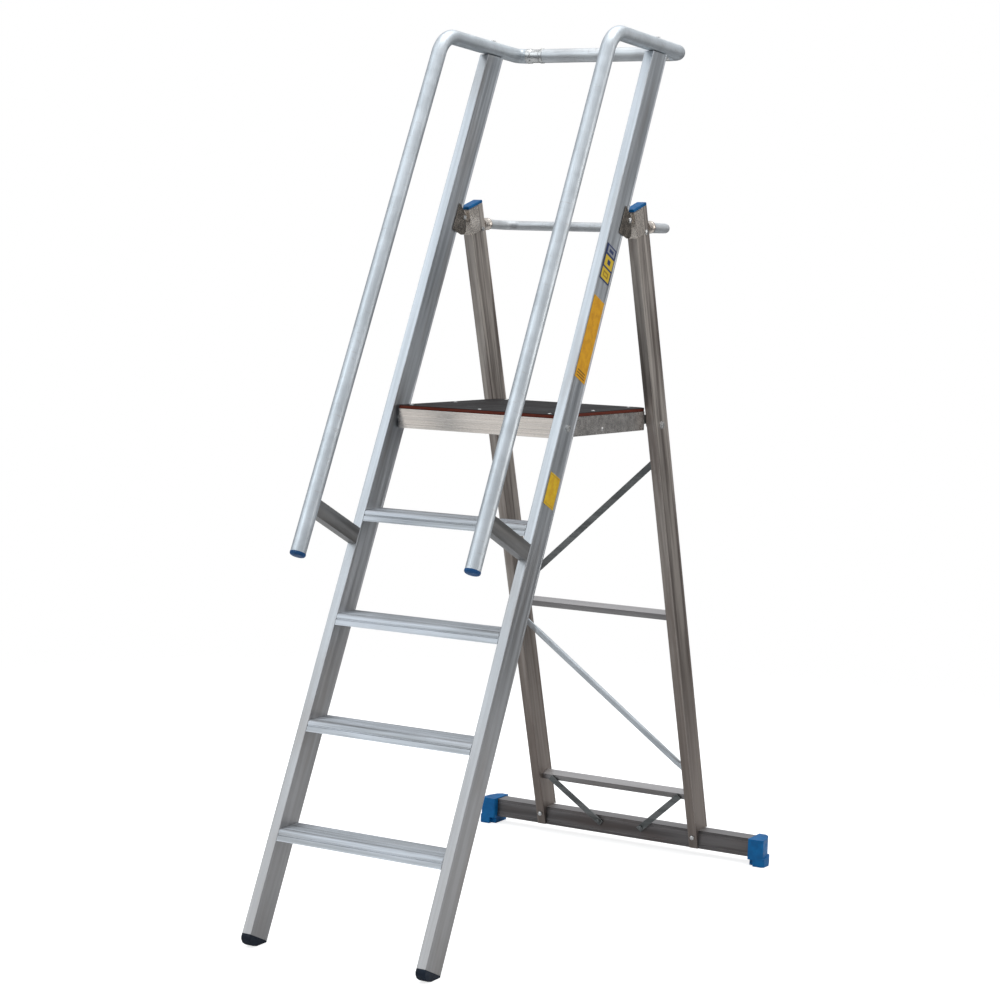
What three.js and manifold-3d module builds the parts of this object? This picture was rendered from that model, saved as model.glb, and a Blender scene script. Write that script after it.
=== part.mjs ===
// Folding platform step ladder with hand rails, a rear support frame and a wide base beam.
// Millimetres. +X is the climber's right, +Y is the way the climber faces, +Z is up.
import * as THREE from "three";
import { mergeVertices } from "three/addons/utils/BufferGeometryUtils.js";
import Module from "manifold-3d";

const wasm = await Module();
wasm.setup();

// ---- Driving dimensions ----
const GAP = 0.3;                       // clearance between touching pieces
const WALL = 2;                        // wall of the extruded profiles
const degrees = THREE.MathUtils.degToRad;

const STILE_LEAN = degrees(24.8);      // front stiles, from the vertical
const STILE_CENTRE = 244.5;            // half the distance between stile centres
const PROFILE_THICK = 26;              // stile and rear leg profile, across the ladder
const PROFILE_DEPTH = 75;              // stile and rear leg profile, fore and aft
const BAND = 5;                        // edge bands of the profile's wide faces
const RECESS = 1;                      // depth of the face between the bands
const STILE_FOOT_HEIGHT = 35;          // height of the stile's front bottom corner
const INNER_HALF = STILE_CENTRE - PROFILE_THICK / 2;

const TREAD_COUNT = 4;
const TREAD_PITCH = 250;
const FIRST_TREAD = 271;               // top of the lowest tread
const TREAD_HEIGHT = 27;

const FRAME_TOP = FIRST_TREAD + TREAD_COUNT * TREAD_PITCH + 1;
const FRAME_HEIGHT = 49;               // platform frame band
const FRAME_SETBACK = 18;              // behind the stile's front face
const FRAME_REAR = 1112;
const FRAME_SHEET = 3;
const FRAME_FRONT_CORNER = 8;
const FRAME_REAR_CORNER = 32;
const DECK_THICK = 9.5;
const SUPPORT_Y = 846;                 // cross support under the deck

const LEG_LEAN = degrees(17.4);        // rear legs, from the vertical
const LEG_GROUND_Y = 1483.5;           // front plane of the rear legs at floor level
const LEG_LENGTH = 1874;
const CAP_THICK = 8;
const PIVOT_BEHIND = 11;               // fold pivot, behind the stile's rear face
const PIVOT_ALONG = 1948;              // fold pivot, along the stile from its foot

const BEAM_DEPTH = 50;
const BEAM_HEIGHT = 52;
const BEAM_SHIFT = 10;                 // the beam sits a little to the climber's right
const BEAM_FRONT = 1481;
const BEAM_BOTTOM = 21;
const BEAM_HALF = 430;
const FOOT_INNER = 406;                // end feet, distances from the beam's middle
const FOOT_OUTER = 452;

const BAR_DEPTH = 31;                  // cross bars of the rear frame, fore and aft
const BAR_HEIGHT = 17;
const BAR_REACH = INNER_HALF + RECESS; // the bars meet the recessed faces of the legs
const LOW_BAR_ALONG = 170.5;
const MID_BAR_ALONG = 726;

const RAIL_RADIUS = 19.5;              // hand rail tube
const CROSSBAR_RADIUS = 18.7;
const RAIL_OFFSET = 221;               // rail axis in front of the stile, at the stile's foot
const RAIL_TILT = degrees(0.4);        // rail leans this much more than the stile
const RAIL_END_ALONG = 893;            // lower end of the rail
const GUARD_HEIGHT = 2234;             // rail axis where the leg and the side run meet
const GUARD_DROP = degrees(2.6);       // side run falls a little to the rear
const GUARD_REAR = 1191;               // axis of the rear guard crossbar
const RAIL_BEND = 80;
const GUARD_CORNER = 24;
const SLEEVE_OUTER = 216;              // guard sleeves, distance from the middle of the ladder
const SLEEVE_INNER = 166;

const KNEE_RADIUS = 12.7;
const KNEE_HEIGHT = 1755;
const KNEE_REAR = 1166;
const KNEE_CORNER = 40;
const KNEE_SOCKET = 28;                // length of the sockets behind the legs

const SIDES = [
  { name: "left", sign: -1 },
  { name: "right", sign: 1 },
];

// ---- Materials ----
const metal = (color, roughness) => new THREE.MeshStandardMaterial({ color, roughness, metalness: 0.9 });
const plastic = (color, roughness) => new THREE.MeshStandardMaterial({ color, roughness, metalness: 0 });
const MATERIALS = {
  profile: () => metal(0xb6bcc2, 0.42),
  legProfile: () => metal(0x9c9890, 0.45),
  tube: () => metal(0xc4ccd2, 0.35),
  fascia: () => metal(0xc6c2be, 0.4),
  brace: () => metal(0x6a6c6a, 0.5),
  casting: () => metal(0xa69a88, 0.45),
  zinc: () => metal(0xc0c2c2, 0.3),
  bluePlastic: () => plastic(0x1b6fb4, 0.45),
  capPlastic: () => plastic(0x2a5f94, 0.45),
  footPlastic: () => plastic(0x16283c, 0.55),
  board: () => plastic(0x3a3a3c, 0.75),
};

// ---- Solid modelling helpers ----
function toSolid(geometry) {
  geometry.deleteAttribute("normal");
  geometry.deleteAttribute("uv");
  const merged = mergeVertices(geometry, 1e-4);
  return new wasm.Manifold(new wasm.Mesh({
    numProp: 3,
    vertProperties: new Float32Array(merged.attributes.position.array),
    triVerts: new Uint32Array(merged.index.array),
  }));
}

function toGeometry(solid) {
  const result = solid.getMesh();
  const geometry = new THREE.BufferGeometry();
  geometry.setAttribute("position", new THREE.BufferAttribute(result.vertProperties, 3));
  geometry.setIndex(new THREE.BufferAttribute(result.triVerts, 1));
  geometry.computeVertexNormals();
  return geometry;
}

function named(name, solid, material) {
  const mesh = new THREE.Mesh(toGeometry(solid), material());
  mesh.name = name;
  return mesh;
}

// A box given by its lowest and highest corners.
function block(low, high) {
  const geometry = new THREE.BoxGeometry(high[0] - low[0], high[1] - low[1], high[2] - low[2]);
  geometry.translate((low[0] + high[0]) / 2, (low[1] + high[1]) / 2, (low[2] + high[2]) / 2);
  return toSolid(geometry);
}

function shapeFrom(points) {
  return new THREE.Shape(points.map(([a, b]) => new THREE.Vector2(a, b)));
}

// A flat outline in the YZ plane, extruded from x = from to x = to.
function plateAcross(outline, from, to, curveSegments = 8) {
  const shape = Array.isArray(outline) ? shapeFrom(outline) : outline;
  const geometry = new THREE.ExtrudeGeometry(shape, { depth: to - from, bevelEnabled: false, curveSegments });
  const axes = new THREE.Matrix4().makeBasis(
    new THREE.Vector3(0, 1, 0), new THREE.Vector3(0, 0, 1), new THREE.Vector3(1, 0, 0));
  geometry.applyMatrix4(axes);
  geometry.translate(from, 0, 0);
  return toSolid(geometry);
}

// A flat outline in the XY plane, extruded from z = from to z = to.
function plateUp(shape, from, to, curveSegments = 6) {
  const geometry = new THREE.ExtrudeGeometry(shape, { depth: to - from, bevelEnabled: false, curveSegments });
  geometry.translate(0, 0, from);
  return toSolid(geometry);
}

// A round pin or cylinder along X, turned from [x, radius] pairs.
function turned(profile, y, z, segments = 14) {
  const first = profile[0];
  const last = profile[profile.length - 1];
  const points = [[first[0], 0], ...profile, [last[0], 0]].map(([x, r]) => new THREE.Vector2(r, x));
  const geometry = new THREE.LatheGeometry(points, segments);
  geometry.rotateZ(-Math.PI / 2);
  geometry.translate(0, y, z);
  return toSolid(geometry);
}

// Bolt along X: head, shank and nut, from the head's outer face towards +X.
function boltAcross(start, length, shank, y, z) {
  const head = shank * 1.75;
  const headHeight = shank * 1.1;
  return turned([
    [start, head * 0.75], [start + 1.2, head], [start + headHeight, head], [start + headHeight, shank],
    [start + headHeight + length, shank], [start + headHeight + length, head * 0.9],
    [start + 2 * headHeight + length, head * 0.9],
  ], y, z);
}

function rectangle(width, height) {
  const shape = new THREE.Shape();
  shape.moveTo(-width / 2, -height / 2);
  shape.lineTo(width / 2, -height / 2);
  shape.lineTo(width / 2, height / 2);
  shape.lineTo(-width / 2, height / 2);
  shape.closePath();
  return shape;
}

// The platform's outline, symmetrical about x = 0, with its own corner radii front and rear.
function platformOutline(inset) {
  const half = FRAME_HALF - inset;
  const front = FRAME_FRONT + inset;
  const rear = FRAME_REAR - inset;
  const near = Math.max(FRAME_FRONT_CORNER - inset, 2);
  const far = Math.max(FRAME_REAR_CORNER - inset, 2);
  const shape = new THREE.Shape();
  shape.moveTo(near - half, front);
  shape.lineTo(half - near, front);
  shape.absarc(half - near, front + near, near, -Math.PI / 2, 0);
  shape.lineTo(half, rear - far);
  shape.absarc(half - far, rear - far, far, 0, Math.PI / 2);
  shape.lineTo(far - half, rear);
  shape.absarc(far - half, rear - far, far, Math.PI / 2, Math.PI);
  shape.lineTo(-half, front + near);
  shape.absarc(near - half, front + near, near, Math.PI, 1.5 * Math.PI);
  return shape;
}

// The stile and leg extrusion, seen along its length: a hollow box whose wide faces carry
// a shallow recess between two edge bands. x across the ladder, y fore and aft.
function profileShape() {
  const half = PROFILE_THICK / 2;
  const inner = half - RECESS;
  const shape = shapeFrom([
    [-half + 1, 0], [half - 1, 0], [half, 1], [half, BAND], [inner, BAND + RECESS],
    [inner, PROFILE_DEPTH - BAND - RECESS], [half, PROFILE_DEPTH - BAND], [half, PROFILE_DEPTH - 1],
    [half - 1, PROFILE_DEPTH], [-half + 1, PROFILE_DEPTH], [-half, PROFILE_DEPTH - 1],
    [-half, PROFILE_DEPTH - BAND], [-inner, PROFILE_DEPTH - BAND - RECESS], [-inner, BAND + RECESS],
    [-half, BAND], [-half, 1],
  ]);
  const hollow = half - WALL - RECESS;
  shape.holes.push(new THREE.Path([
    [-hollow, WALL], [-hollow, PROFILE_DEPTH - WALL], [hollow, PROFILE_DEPTH - WALL], [hollow, WALL],
  ].map(([x, y]) => new THREE.Vector2(x, y))));
  return shape;
}

// A tube's route: straight runs with round bends, kept as stations at the ends of each run
// and along each bend, so that straight runs need no extra rings.
class Route extends THREE.Curve {
  constructor(corners, radii, bendSteps = 7) {
    super();
    this.stations = [];
    const last = corners.length - 1;
    const direction = (i) => corners[i + 1].clone().sub(corners[i]).normalize();
    this.add(corners[0], direction(0));
    for (let i = 1; i < last; i += 1) {
      this.bend(corners[i], direction(i - 1), direction(i), radii[i - 1], bendSteps);
    }
    this.add(corners[last], direction(last - 1));
  }

  add(point, tangent) {
    this.stations.push({ point: point.clone(), tangent: tangent.clone() });
  }

  bend(corner, before, after, radius, steps) {
    const angle = before.angleTo(after);
    const start = corner.clone().addScaledVector(before, -radius * Math.tan(angle / 2));
    const axis = before.clone().cross(after).normalize();
    const inward = axis.clone().cross(before);
    const centre = start.clone().addScaledVector(inward, radius);
    for (let k = 0; k <= steps; k += 1) {
      const turn = (angle * k) / steps;
      const arm = inward.clone().negate().multiplyScalar(radius).applyAxisAngle(axis, turn);
      this.add(centre.clone().add(arm), before.clone().applyAxisAngle(axis, turn));
    }
  }

  station(t) {
    return this.stations[Math.round(t * (this.stations.length - 1))];
  }

  getPoint(t, target = new THREE.Vector3()) {
    return target.copy(this.station(t).point);
  }

  getTangent(t, target = new THREE.Vector3()) {
    return target.copy(this.station(t).tangent);
  }

  getPointAt(u, target) {
    return this.getPoint(u, target);
  }

  getTangentAt(u, target) {
    return this.getTangent(u, target);
  }
}

function tubeAlong(route, radius, wall, outerSides = 20, innerSides = 12) {
  const ring = (r, sides) => Array.from({ length: sides }, (_, i) => {
    const angle = (2 * Math.PI * i) / sides;
    return new THREE.Vector2(r * Math.cos(angle), r * Math.sin(angle));
  });
  const shape = new THREE.Shape(ring(radius, outerSides));
  shape.holes.push(new THREE.Path(ring(radius - wall, innerSides)));
  const steps = route.stations.length - 1;
  return toSolid(new THREE.ExtrudeGeometry(shape, { steps, extrudePath: route, curveSegments: 1 }));
}

// A straight bar of rectangular section between two points; "face" is the way its width looks.
function barBetween(from, to, width, thick, face) {
  const along = to.clone().sub(from);
  const length = along.length();
  along.normalize();
  const normal = face.clone().addScaledVector(along, -face.dot(along)).normalize();
  const side = along.clone().cross(normal);
  const shape = rectangle(width, thick);
  const geometry = new THREE.ExtrudeGeometry(shape, { depth: length, bevelEnabled: false });
  geometry.applyMatrix4(new THREE.Matrix4().makeBasis(side, normal.clone().negate(), along).setPosition(from));
  return toSolid(geometry);
}

// ---- Places on the leaning frames ----
// depth is measured back from the front face, along is measured up the profile.
function onStile(x, depth, along) {
  return new THREE.Vector3(
    x,
    along * Math.sin(STILE_LEAN) + depth * Math.cos(STILE_LEAN),
    STILE_FOOT_HEIGHT + along * Math.cos(STILE_LEAN) - depth * Math.sin(STILE_LEAN),
  );
}

function onLeg(x, depth, along) {
  return new THREE.Vector3(
    x,
    LEG_GROUND_Y - along * Math.sin(LEG_LEAN) + depth * Math.cos(LEG_LEAN),
    along * Math.cos(LEG_LEAN) + depth * Math.sin(LEG_LEAN),
  );
}

const stileFrontAt = (z) => (z - STILE_FOOT_HEIGHT) * Math.tan(STILE_LEAN);

// Groups whose local axes follow the stiles and the legs: y is depth and z is along.
function stileGroup() {
  const group = new THREE.Group();
  group.position.set(0, 0, STILE_FOOT_HEIGHT);
  group.rotation.x = -STILE_LEAN;
  return group;
}

function legGroup() {
  const group = new THREE.Group();
  group.position.set(0, LEG_GROUND_Y, 0);
  group.rotation.x = LEG_LEAN;
  return group;
}

// ---- Hand rails and guard ----
const railAxis = STILE_LEAN + RAIL_TILT;
const railPoint = (x, along) => {
  const foot = onStile(x, -RAIL_OFFSET, 0);
  return foot.add(new THREE.Vector3(0, along * Math.sin(railAxis), along * Math.cos(railAxis)));
};
const railCornerAlong = (GUARD_HEIGHT - railPoint(0, 0).z) / Math.cos(railAxis);
const guardHeightAt = (y) => GUARD_HEIGHT - (y - railPoint(0, railCornerAlong).y) * Math.tan(GUARD_DROP);

function handrailRoute(sign) {
  const x = sign * STILE_CENTRE;
  const rear = new THREE.Vector3(x, GUARD_REAR, guardHeightAt(GUARD_REAR));
  return new Route([
    railPoint(x, RAIL_END_ALONG),
    railPoint(x, railCornerAlong),
    rear,
    rear.clone().setX(sign * (SLEEVE_OUTER + GAP)),
  ], [RAIL_BEND, GUARD_CORNER]);
}

// The stile tops are cut level with the guard's side run, just under the tube.
const stileTopShift = -RAIL_RADIUS - 0.8;
const stileTopAt = (y) => guardHeightAt(y) + stileTopShift / Math.cos(GUARD_DROP);

// ---- Bolt places, shared by the bolts and the holes they pass through ----
const PLATFORM_PIVOT = onStile(0, PROFILE_DEPTH / 2, 1354.5);
const FOLD_PIVOT = onStile(0, PROFILE_DEPTH + PIVOT_BEHIND, PIVOT_ALONG);
const FOLD_PIVOT_ON_LEG = {
  y: (FOLD_PIVOT.y - LEG_GROUND_Y) * Math.cos(LEG_LEAN) + FOLD_PIVOT.z * Math.sin(LEG_LEAN),
  z: (LEG_GROUND_Y - FOLD_PIVOT.y) * Math.sin(LEG_LEAN) + FOLD_PIVOT.z * Math.cos(LEG_LEAN),
};
const CATCH = onLeg(0, PROFILE_DEPTH / 2, 1284);
const KNEE_BOLT = onLeg(0, 58, 1806);
const PIVOT_SHANK = 5;
const FOLD_SHANK = 4;
const CATCH_SHANK = 6;
const SMALL_SHANK = 4;
const GUARD_SCREW_Y = 1046;
const hole = (point, radius) => turned([[-400, radius + GAP], [400, radius + GAP]], point.y, point.z, 12);

function stile(sign) {
  const geometry = new THREE.ExtrudeGeometry(profileShape(), { depth: 2500, bevelEnabled: false });
  const group = stileGroup();
  group.updateMatrixWorld();
  geometry.translate(sign * STILE_CENTRE, 0, 0);
  geometry.applyMatrix4(group.matrixWorld);
  const above = plateAcross([
    [0, stileTopAt(0)], [2000, stileTopAt(2000)], [2000, 4000], [0, 4000],
  ], -400, 400);
  return toSolid(geometry).subtract(above).subtract(hole(PLATFORM_PIVOT, PIVOT_SHANK));
}

// Wedge foot whose sole is level with the floor, with a plug that enters the stile.
function stileFoot(sign) {
  const floorAt = (depth) => (depth * Math.sin(STILE_LEAN) - STILE_FOOT_HEIGHT) / Math.cos(STILE_LEAN);
  const x = sign * STILE_CENTRE;
  const half = PROFILE_THICK / 2;
  const wedge = plateAcross([
    [0, -GAP], [0, -9], [3, -15], [12, -21.5], [24, -23.4], [39, floorAt(39)],
    [PROFILE_DEPTH, floorAt(PROFILE_DEPTH)],
    [PROFILE_DEPTH, -GAP],
  ], x - half, x + half);
  const plugHalf = half - WALL - RECESS - GAP;
  const plug = block([x - plugHalf, WALL + GAP, -1], [x + plugHalf, PROFILE_DEPTH - WALL - GAP, 16]);
  return wedge.add(plug);
}

// ---- Treads ----
// Channel section open below: ribbed top, round nose with a groove, short rear lip.
function treadOutline() {
  const depth = PROFILE_DEPTH / Math.cos(STILE_LEAN);
  const lean = Math.tan(STILE_LEAN);
  const front = (drop) => -drop * lean;
  const wall = 2.6;
  const points = [[front(TREAD_HEIGHT), -TREAD_HEIGHT], [front(15), -15], [front(14) + 2, -14],
    [front(12) + 2, -12], [front(11), -11], [front(5) - 0.5, -5], [1.2, -1.2], [5, 0]];
  const ribs = 9;
  const ribPitch = (depth - 12) / ribs;
  for (let i = 0; i < ribs; i += 1) {
    const y = 6 + i * ribPitch;
    points.push([y + ribPitch * 0.5, 0], [y + ribPitch * 0.6, -1.1], [y + ribPitch * 0.85, -1.1],
      [y + ribPitch * 0.95, 0]);
  }
  points.push([depth - 2, 0], [depth, -2], [depth + front(20), -20], [depth + front(20) - wall, -20],
    [depth - wall - 1, -4.4], [4.5, -4.4], [3.2 + front(10) + 1.6, -9.5], [3.2 + front(16) + 1.6, -16.5],
    [front(TREAD_HEIGHT) + wall, -TREAD_HEIGHT]);
  return points;
}

function tread(index) {
  const top = FIRST_TREAD + index * TREAD_PITCH;
  const solid = plateAcross(treadOutline(), -INNER_HALF + GAP, INNER_HALF - GAP);
  return solid.translate([0, stileFrontAt(top), top]);
}

// Plain stickers in the recess of the right stile's outer face: [name, low, high, front, rear, colour].
const LABELS = [
  ["label_yellow", 1148, 1230, 9, 62, 0xf0c81e],
  ["label_orange", 1484, 1705, 7, 66, 0xcd921c],
  ["label_pictograms", 1753, 1849, 9, 64, 0x28508c],
];
function label(low, high, front, rear) {
  const face = STILE_CENTRE + PROFILE_THICK / 2 - RECESS + GAP;
  return block([face, front, low], [face + 0.6, rear, high]);
}

// ---- Hand rail fittings ----
function railBracket(sign) {
  const along = 1016;
  const height = 42;
  const width = 24;
  const x = sign * STILE_CENTRE;
  const half = width / 2;
  const reach = RAIL_OFFSET - along * Math.tan(RAIL_TILT);
  const outer = block([x - half, -reach, along - height / 2], [x + half, -GAP, along + height / 2]);
  const inner = block([x - half + WALL, -2 * reach, along - height / 2 + WALL],
    [x + half - WALL, reach, along + height / 2 - WALL]);
  const tube = new THREE.CylinderGeometry(RAIL_RADIUS + GAP, RAIL_RADIUS + GAP, 200, 20);
  tube.rotateX(Math.PI / 2);
  tube.rotateX(-RAIL_TILT);
  tube.translate(x, -reach, along);
  return outer.subtract(inner).subtract(toSolid(tube));
}

function railEndCap(sign) {
  const start = railPoint(sign * STILE_CENTRE, RAIL_END_ALONG - GAP);
  const points = [[0, 0], [RAIL_RADIUS - 4, 0], [RAIL_RADIUS + 0.6, 4], [RAIL_RADIUS + 0.6, 9],
    [RAIL_RADIUS - 3, 9], [RAIL_RADIUS - 3, 24], [0, 24]].map(([r, z]) => new THREE.Vector2(r, z));
  const geometry = new THREE.LatheGeometry(points, 20);
  geometry.rotateX(Math.PI / 2);
  geometry.rotateX(-railAxis);
  const seat = new THREE.Vector3(0, Math.sin(railAxis), Math.cos(railAxis)).multiplyScalar(-9);
  geometry.translate(start.x, start.y + seat.y, start.z + seat.z);
  return toSolid(geometry);
}

// Coupling on the guard crossbar: two shoulders, with spigots that enter both tubes.
function guardSleeve(sign) {
  const length = SLEEVE_OUTER - SLEEVE_INNER;
  const spigot = CROSSBAR_RADIUS - 3.4;
  const profile = [[-20, spigot], [0, spigot], [0, RAIL_RADIUS + 0.4], [9, RAIL_RADIUS + 0.4],
    [11, RAIL_RADIUS - 1.2], [length - 15, RAIL_RADIUS - 1.2], [length - 13, RAIL_RADIUS + 0.4],
    [length, RAIL_RADIUS + 0.4], [length, spigot], [length + 6, spigot]];
  const from = (x) => sign * (SLEEVE_INNER + x);
  const placed = profile.map(([x, r]) => [from(x), r]);
  return turned(sign > 0 ? placed : placed.reverse(), GUARD_REAR, guardHeightAt(GUARD_REAR), 20);
}

function guardCrossbar() {
  const z = guardHeightAt(GUARD_REAR);
  const end = SLEEVE_INNER - GAP;
  return tubeAlong(new Route([
    new THREE.Vector3(-end, GUARD_REAR, z), new THREE.Vector3(end, GUARD_REAR, z),
  ], []), CROSSBAR_RADIUS, WALL);
}

// Screw that holds the guard's side run down on a plug in the stile's top.
function guardScrew(sign) {
  const top = guardHeightAt(GUARD_SCREW_Y) + RAIL_RADIUS + 2 * GAP;
  const points = [[0, -70], [SMALL_SHANK, -70], [SMALL_SHANK, 0], [8, 0], [7, 3.4], [4, 5], [0, 5]]
    .map(([r, z]) => new THREE.Vector2(r, z));
  const geometry = new THREE.LatheGeometry(points, 12);
  geometry.rotateX(Math.PI / 2);
  geometry.translate(sign * STILE_CENTRE, GUARD_SCREW_Y, top);
  return toSolid(geometry);
}

function guardScrewHole(sign) {
  const geometry = new THREE.CylinderGeometry(SMALL_SHANK + GAP, SMALL_SHANK + GAP, 200, 12);
  geometry.rotateX(Math.PI / 2);
  geometry.translate(sign * STILE_CENTRE, GUARD_SCREW_Y, guardHeightAt(GUARD_SCREW_Y));
  return toSolid(geometry);
}

function handrail(sign) {
  return tubeAlong(handrailRoute(sign), RAIL_RADIUS, WALL).subtract(guardScrewHole(sign));
}

// ---- Fold hinge ----
const HINGE_SHEET = 2.2;
const CLIP_LOW = 1896;
const CLIP_HIGH = 1972;
const CLIP_LAP = 25;                   // how far the clip reaches round the stile
const LUG_RADIUS = 7.5;

// Clip round the back of the stile, whose two cheeks carry the pin.
function hingeClip(sign) {
  const x = sign * STILE_CENTRE;
  const inside = PROFILE_THICK / 2 + GAP;
  const outside = inside + HINGE_SHEET;
  const corner = (depth, along) => {
    const point = onStile(0, depth, along);
    return [point.y, point.z];
  };
  const rear = PROFILE_DEPTH + PIVOT_BEHIND;
  const shape = new THREE.Shape();
  shape.moveTo(...corner(PROFILE_DEPTH - CLIP_LAP, CLIP_LOW));
  shape.lineTo(...corner(PROFILE_DEPTH - CLIP_LAP, CLIP_HIGH));
  shape.lineTo(...corner(rear - 4, CLIP_HIGH - 10));
  shape.absarc(FOLD_PIVOT.y, FOLD_PIVOT.z, 11, degrees(60), degrees(-30), true);
  shape.quadraticCurveTo(...corner(rear + 25, CLIP_LOW + 32), ...corner(rear + 26, CLIP_LOW + 22));
  shape.quadraticCurveTo(...corner(rear + 24, CLIP_LOW + 10), ...corner(rear + 6, CLIP_LOW + 5));
  const cheeks = plateAcross(shape, x - outside, x + outside, 5);
  const room = plateAcross([
    corner(-400, 1500), corner(PROFILE_DEPTH + GAP, 1500), corner(PROFILE_DEPTH + GAP, 2300),
    corner(-400, 2300),
  ], x - inside, x + inside);
  const behind = plateAcross([
    corner(PROFILE_DEPTH + GAP + HINGE_SHEET, 1500), corner(400, 1500), corner(400, 2300),
    corner(PROFILE_DEPTH + GAP + HINGE_SHEET, 2300),
  ], x - inside, x + inside);
  return cheeks.subtract(room).subtract(behind).subtract(hole(FOLD_PIVOT, FOLD_SHANK));
}

// Sleeve round the front and sides of the leg's top, with the lug that turns on the pin.
function hingeSleeve(sign) {
  const x = sign * STILE_CENTRE;
  const inside = PROFILE_THICK / 2 + GAP;
  const outside = inside + HINGE_SHEET;
  const low = 1806;
  const high = 1873;
  const depth = 44;
  const shell = block([x - outside, -GAP - HINGE_SHEET, low], [x + outside, depth, high])
    .subtract(block([x - inside, -GAP, low - 10], [x + inside, depth + 10, high + 10]));
  const { y, z } = FOLD_PIVOT_ON_LEG;
  const lug = new THREE.Shape();
  lug.moveTo(-GAP - 1, z - 16);
  lug.lineTo(-GAP - 1, high - 2);
  lug.absarc(y, z, LUG_RADIUS, degrees(75), degrees(270), false);
  return shell.add(plateAcross(lug, x - 8, x + 8, 6)).subtract(hole(FOLD_PIVOT_ON_LEG, FOLD_SHANK));
}

function hingePin(sign) {
  const outside = PROFILE_THICK / 2 + 2 * GAP + HINGE_SHEET;
  const headHeight = FOLD_SHANK * 1.1;
  const start = sign * STILE_CENTRE - outside - headHeight;
  return boltAcross(start, 2 * outside, FOLD_SHANK, FOLD_PIVOT.y, FOLD_PIVOT.z);
}

// ---- Rear legs ----
function rearLeg(sign) {
  const geometry = new THREE.ExtrudeGeometry(profileShape(), { depth: LEG_LENGTH + 80, bevelEnabled: false });
  const group = legGroup();
  group.updateMatrixWorld();
  geometry.translate(sign * STILE_CENTRE, 0, -80);
  geometry.applyMatrix4(group.matrixWorld);
  const floorCut = block([-500, 1000, -300], [500, 1900, BEAM_BOTTOM]);
  const beamNotch = block([-500, BEAM_FRONT - GAP, -300], [500, 1900, BEAM_BOTTOM + BEAM_HEIGHT + GAP]);
  return toSolid(geometry).subtract(floorCut).subtract(beamNotch)
    .subtract(hole(CATCH, CATCH_SHANK))
    .subtract(hole(KNEE_BOLT, SMALL_SHANK)).subtract(legBoltHole(sign));
}

function legCap(sign) {
  const x = sign * STILE_CENTRE;
  const half = PROFILE_THICK / 2;
  const plugHalf = half - WALL - RECESS - GAP;
  const top = LEG_LENGTH + GAP;
  const crown = new THREE.Shape();
  crown.moveTo(0, top);
  crown.lineTo(PROFILE_DEPTH, top);
  crown.lineTo(PROFILE_DEPTH, top + CAP_THICK - 3);
  crown.quadraticCurveTo(PROFILE_DEPTH, top + CAP_THICK, PROFILE_DEPTH - 4, top + CAP_THICK);
  crown.lineTo(4, top + CAP_THICK);
  crown.quadraticCurveTo(0, top + CAP_THICK, 0, top + CAP_THICK - 3);
  const plug = block([x - plugHalf, WALL + GAP, LEG_LENGTH - 9],
    [x + plugHalf, PROFILE_DEPTH - WALL - GAP, top + 2]);
  return plateAcross(crown, x - half, x + half, 4).add(plug);
}

// Cross bar between the rear legs, a hollow rectangular tube.
function crossBar(along) {
  const front = (PROFILE_DEPTH - BAR_DEPTH) / 2;
  const reach = BAR_REACH - GAP;
  const low = along - BAR_HEIGHT / 2;
  const outer = block([-reach, front, low], [reach, front + BAR_DEPTH, low + BAR_HEIGHT]);
  const inner = block([-500, front + WALL, low + WALL], [500, front + BAR_DEPTH - WALL, low + BAR_HEIGHT - WALL]);
  return outer.subtract(inner);
}

// ---- Braces of the rear frame ----
const LEG_FACE = new THREE.Vector3(0, -Math.cos(LEG_LEAN), -Math.sin(LEG_LEAN));
const betweenLegs = () => block([GAP - BAR_REACH, 0, 0], [BAR_REACH - GAP, 2000, 2000]);

function upperBrace() {
  const depth = PROFILE_DEPTH / 2;
  const bar = barBetween(onLeg(-STILE_CENTRE, depth, 766), onLeg(STILE_CENTRE, depth, 1194), 18, 5, LEG_FACE);
  return bar.intersect(betweenLegs());
}

// Round tube whose ends are pressed flat.
function lowerBrace() {
  const depth = PROFILE_DEPTH / 2;
  const high = onLeg(-STILE_CENTRE, depth, 672);
  const low = onLeg(STILE_CENTRE, depth, 232);
  const along = low.clone().sub(high).normalize();
  const tubeEnd = 52;
  const lap = 8;
  const inner = [high.clone().addScaledVector(along, tubeEnd), low.clone().addScaledVector(along, -tubeEnd)];
  const tab = (from, to) => barBetween(from, to, 19, 4.4, LEG_FACE);
  return tubeAlong(new Route(inner, []), 9, 1.6, 14, 8)
    .add(tab(high, inner[0].clone().addScaledVector(along, lap)))
    .add(tab(inner[1].clone().addScaledVector(along, -lap), low))
    .intersect(betweenLegs());
}

const GUSSET_TOP = { x: 199, drop: 5 };
const GUSSET_FOOT = { x: 68, z: 56 };
function gussetEnds(sign) {
  const barFront = (PROFILE_DEPTH - BAR_DEPTH) / 2;
  const top = onLeg(sign * GUSSET_TOP.x, barFront - 3.4, LOW_BAR_ALONG - GUSSET_TOP.drop);
  const foot = new THREE.Vector3(BEAM_SHIFT + sign * GUSSET_FOOT.x, BEAM_FRONT - 5, GUSSET_FOOT.z);
  return { top, foot };
}

function gusset(sign) {
  const { top, foot } = gussetEnds(sign);
  const along = foot.clone().sub(top).normalize();
  const lap = 10;
  return barBetween(top.clone().addScaledVector(along, -lap), foot.clone().addScaledVector(along, lap),
    18, 3.6, new THREE.Vector3(0, -1, -0.25)).subtract(foreAftHole(foot.x, foot.z));
}

// ---- Base beam ----
function foreAftHole(x, z) {
  const geometry = new THREE.CylinderGeometry(SMALL_SHANK + GAP, SMALL_SHANK + GAP, 60, 12);
  geometry.translate(x, BEAM_FRONT - 20, z);
  return toSolid(geometry);
}

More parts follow.
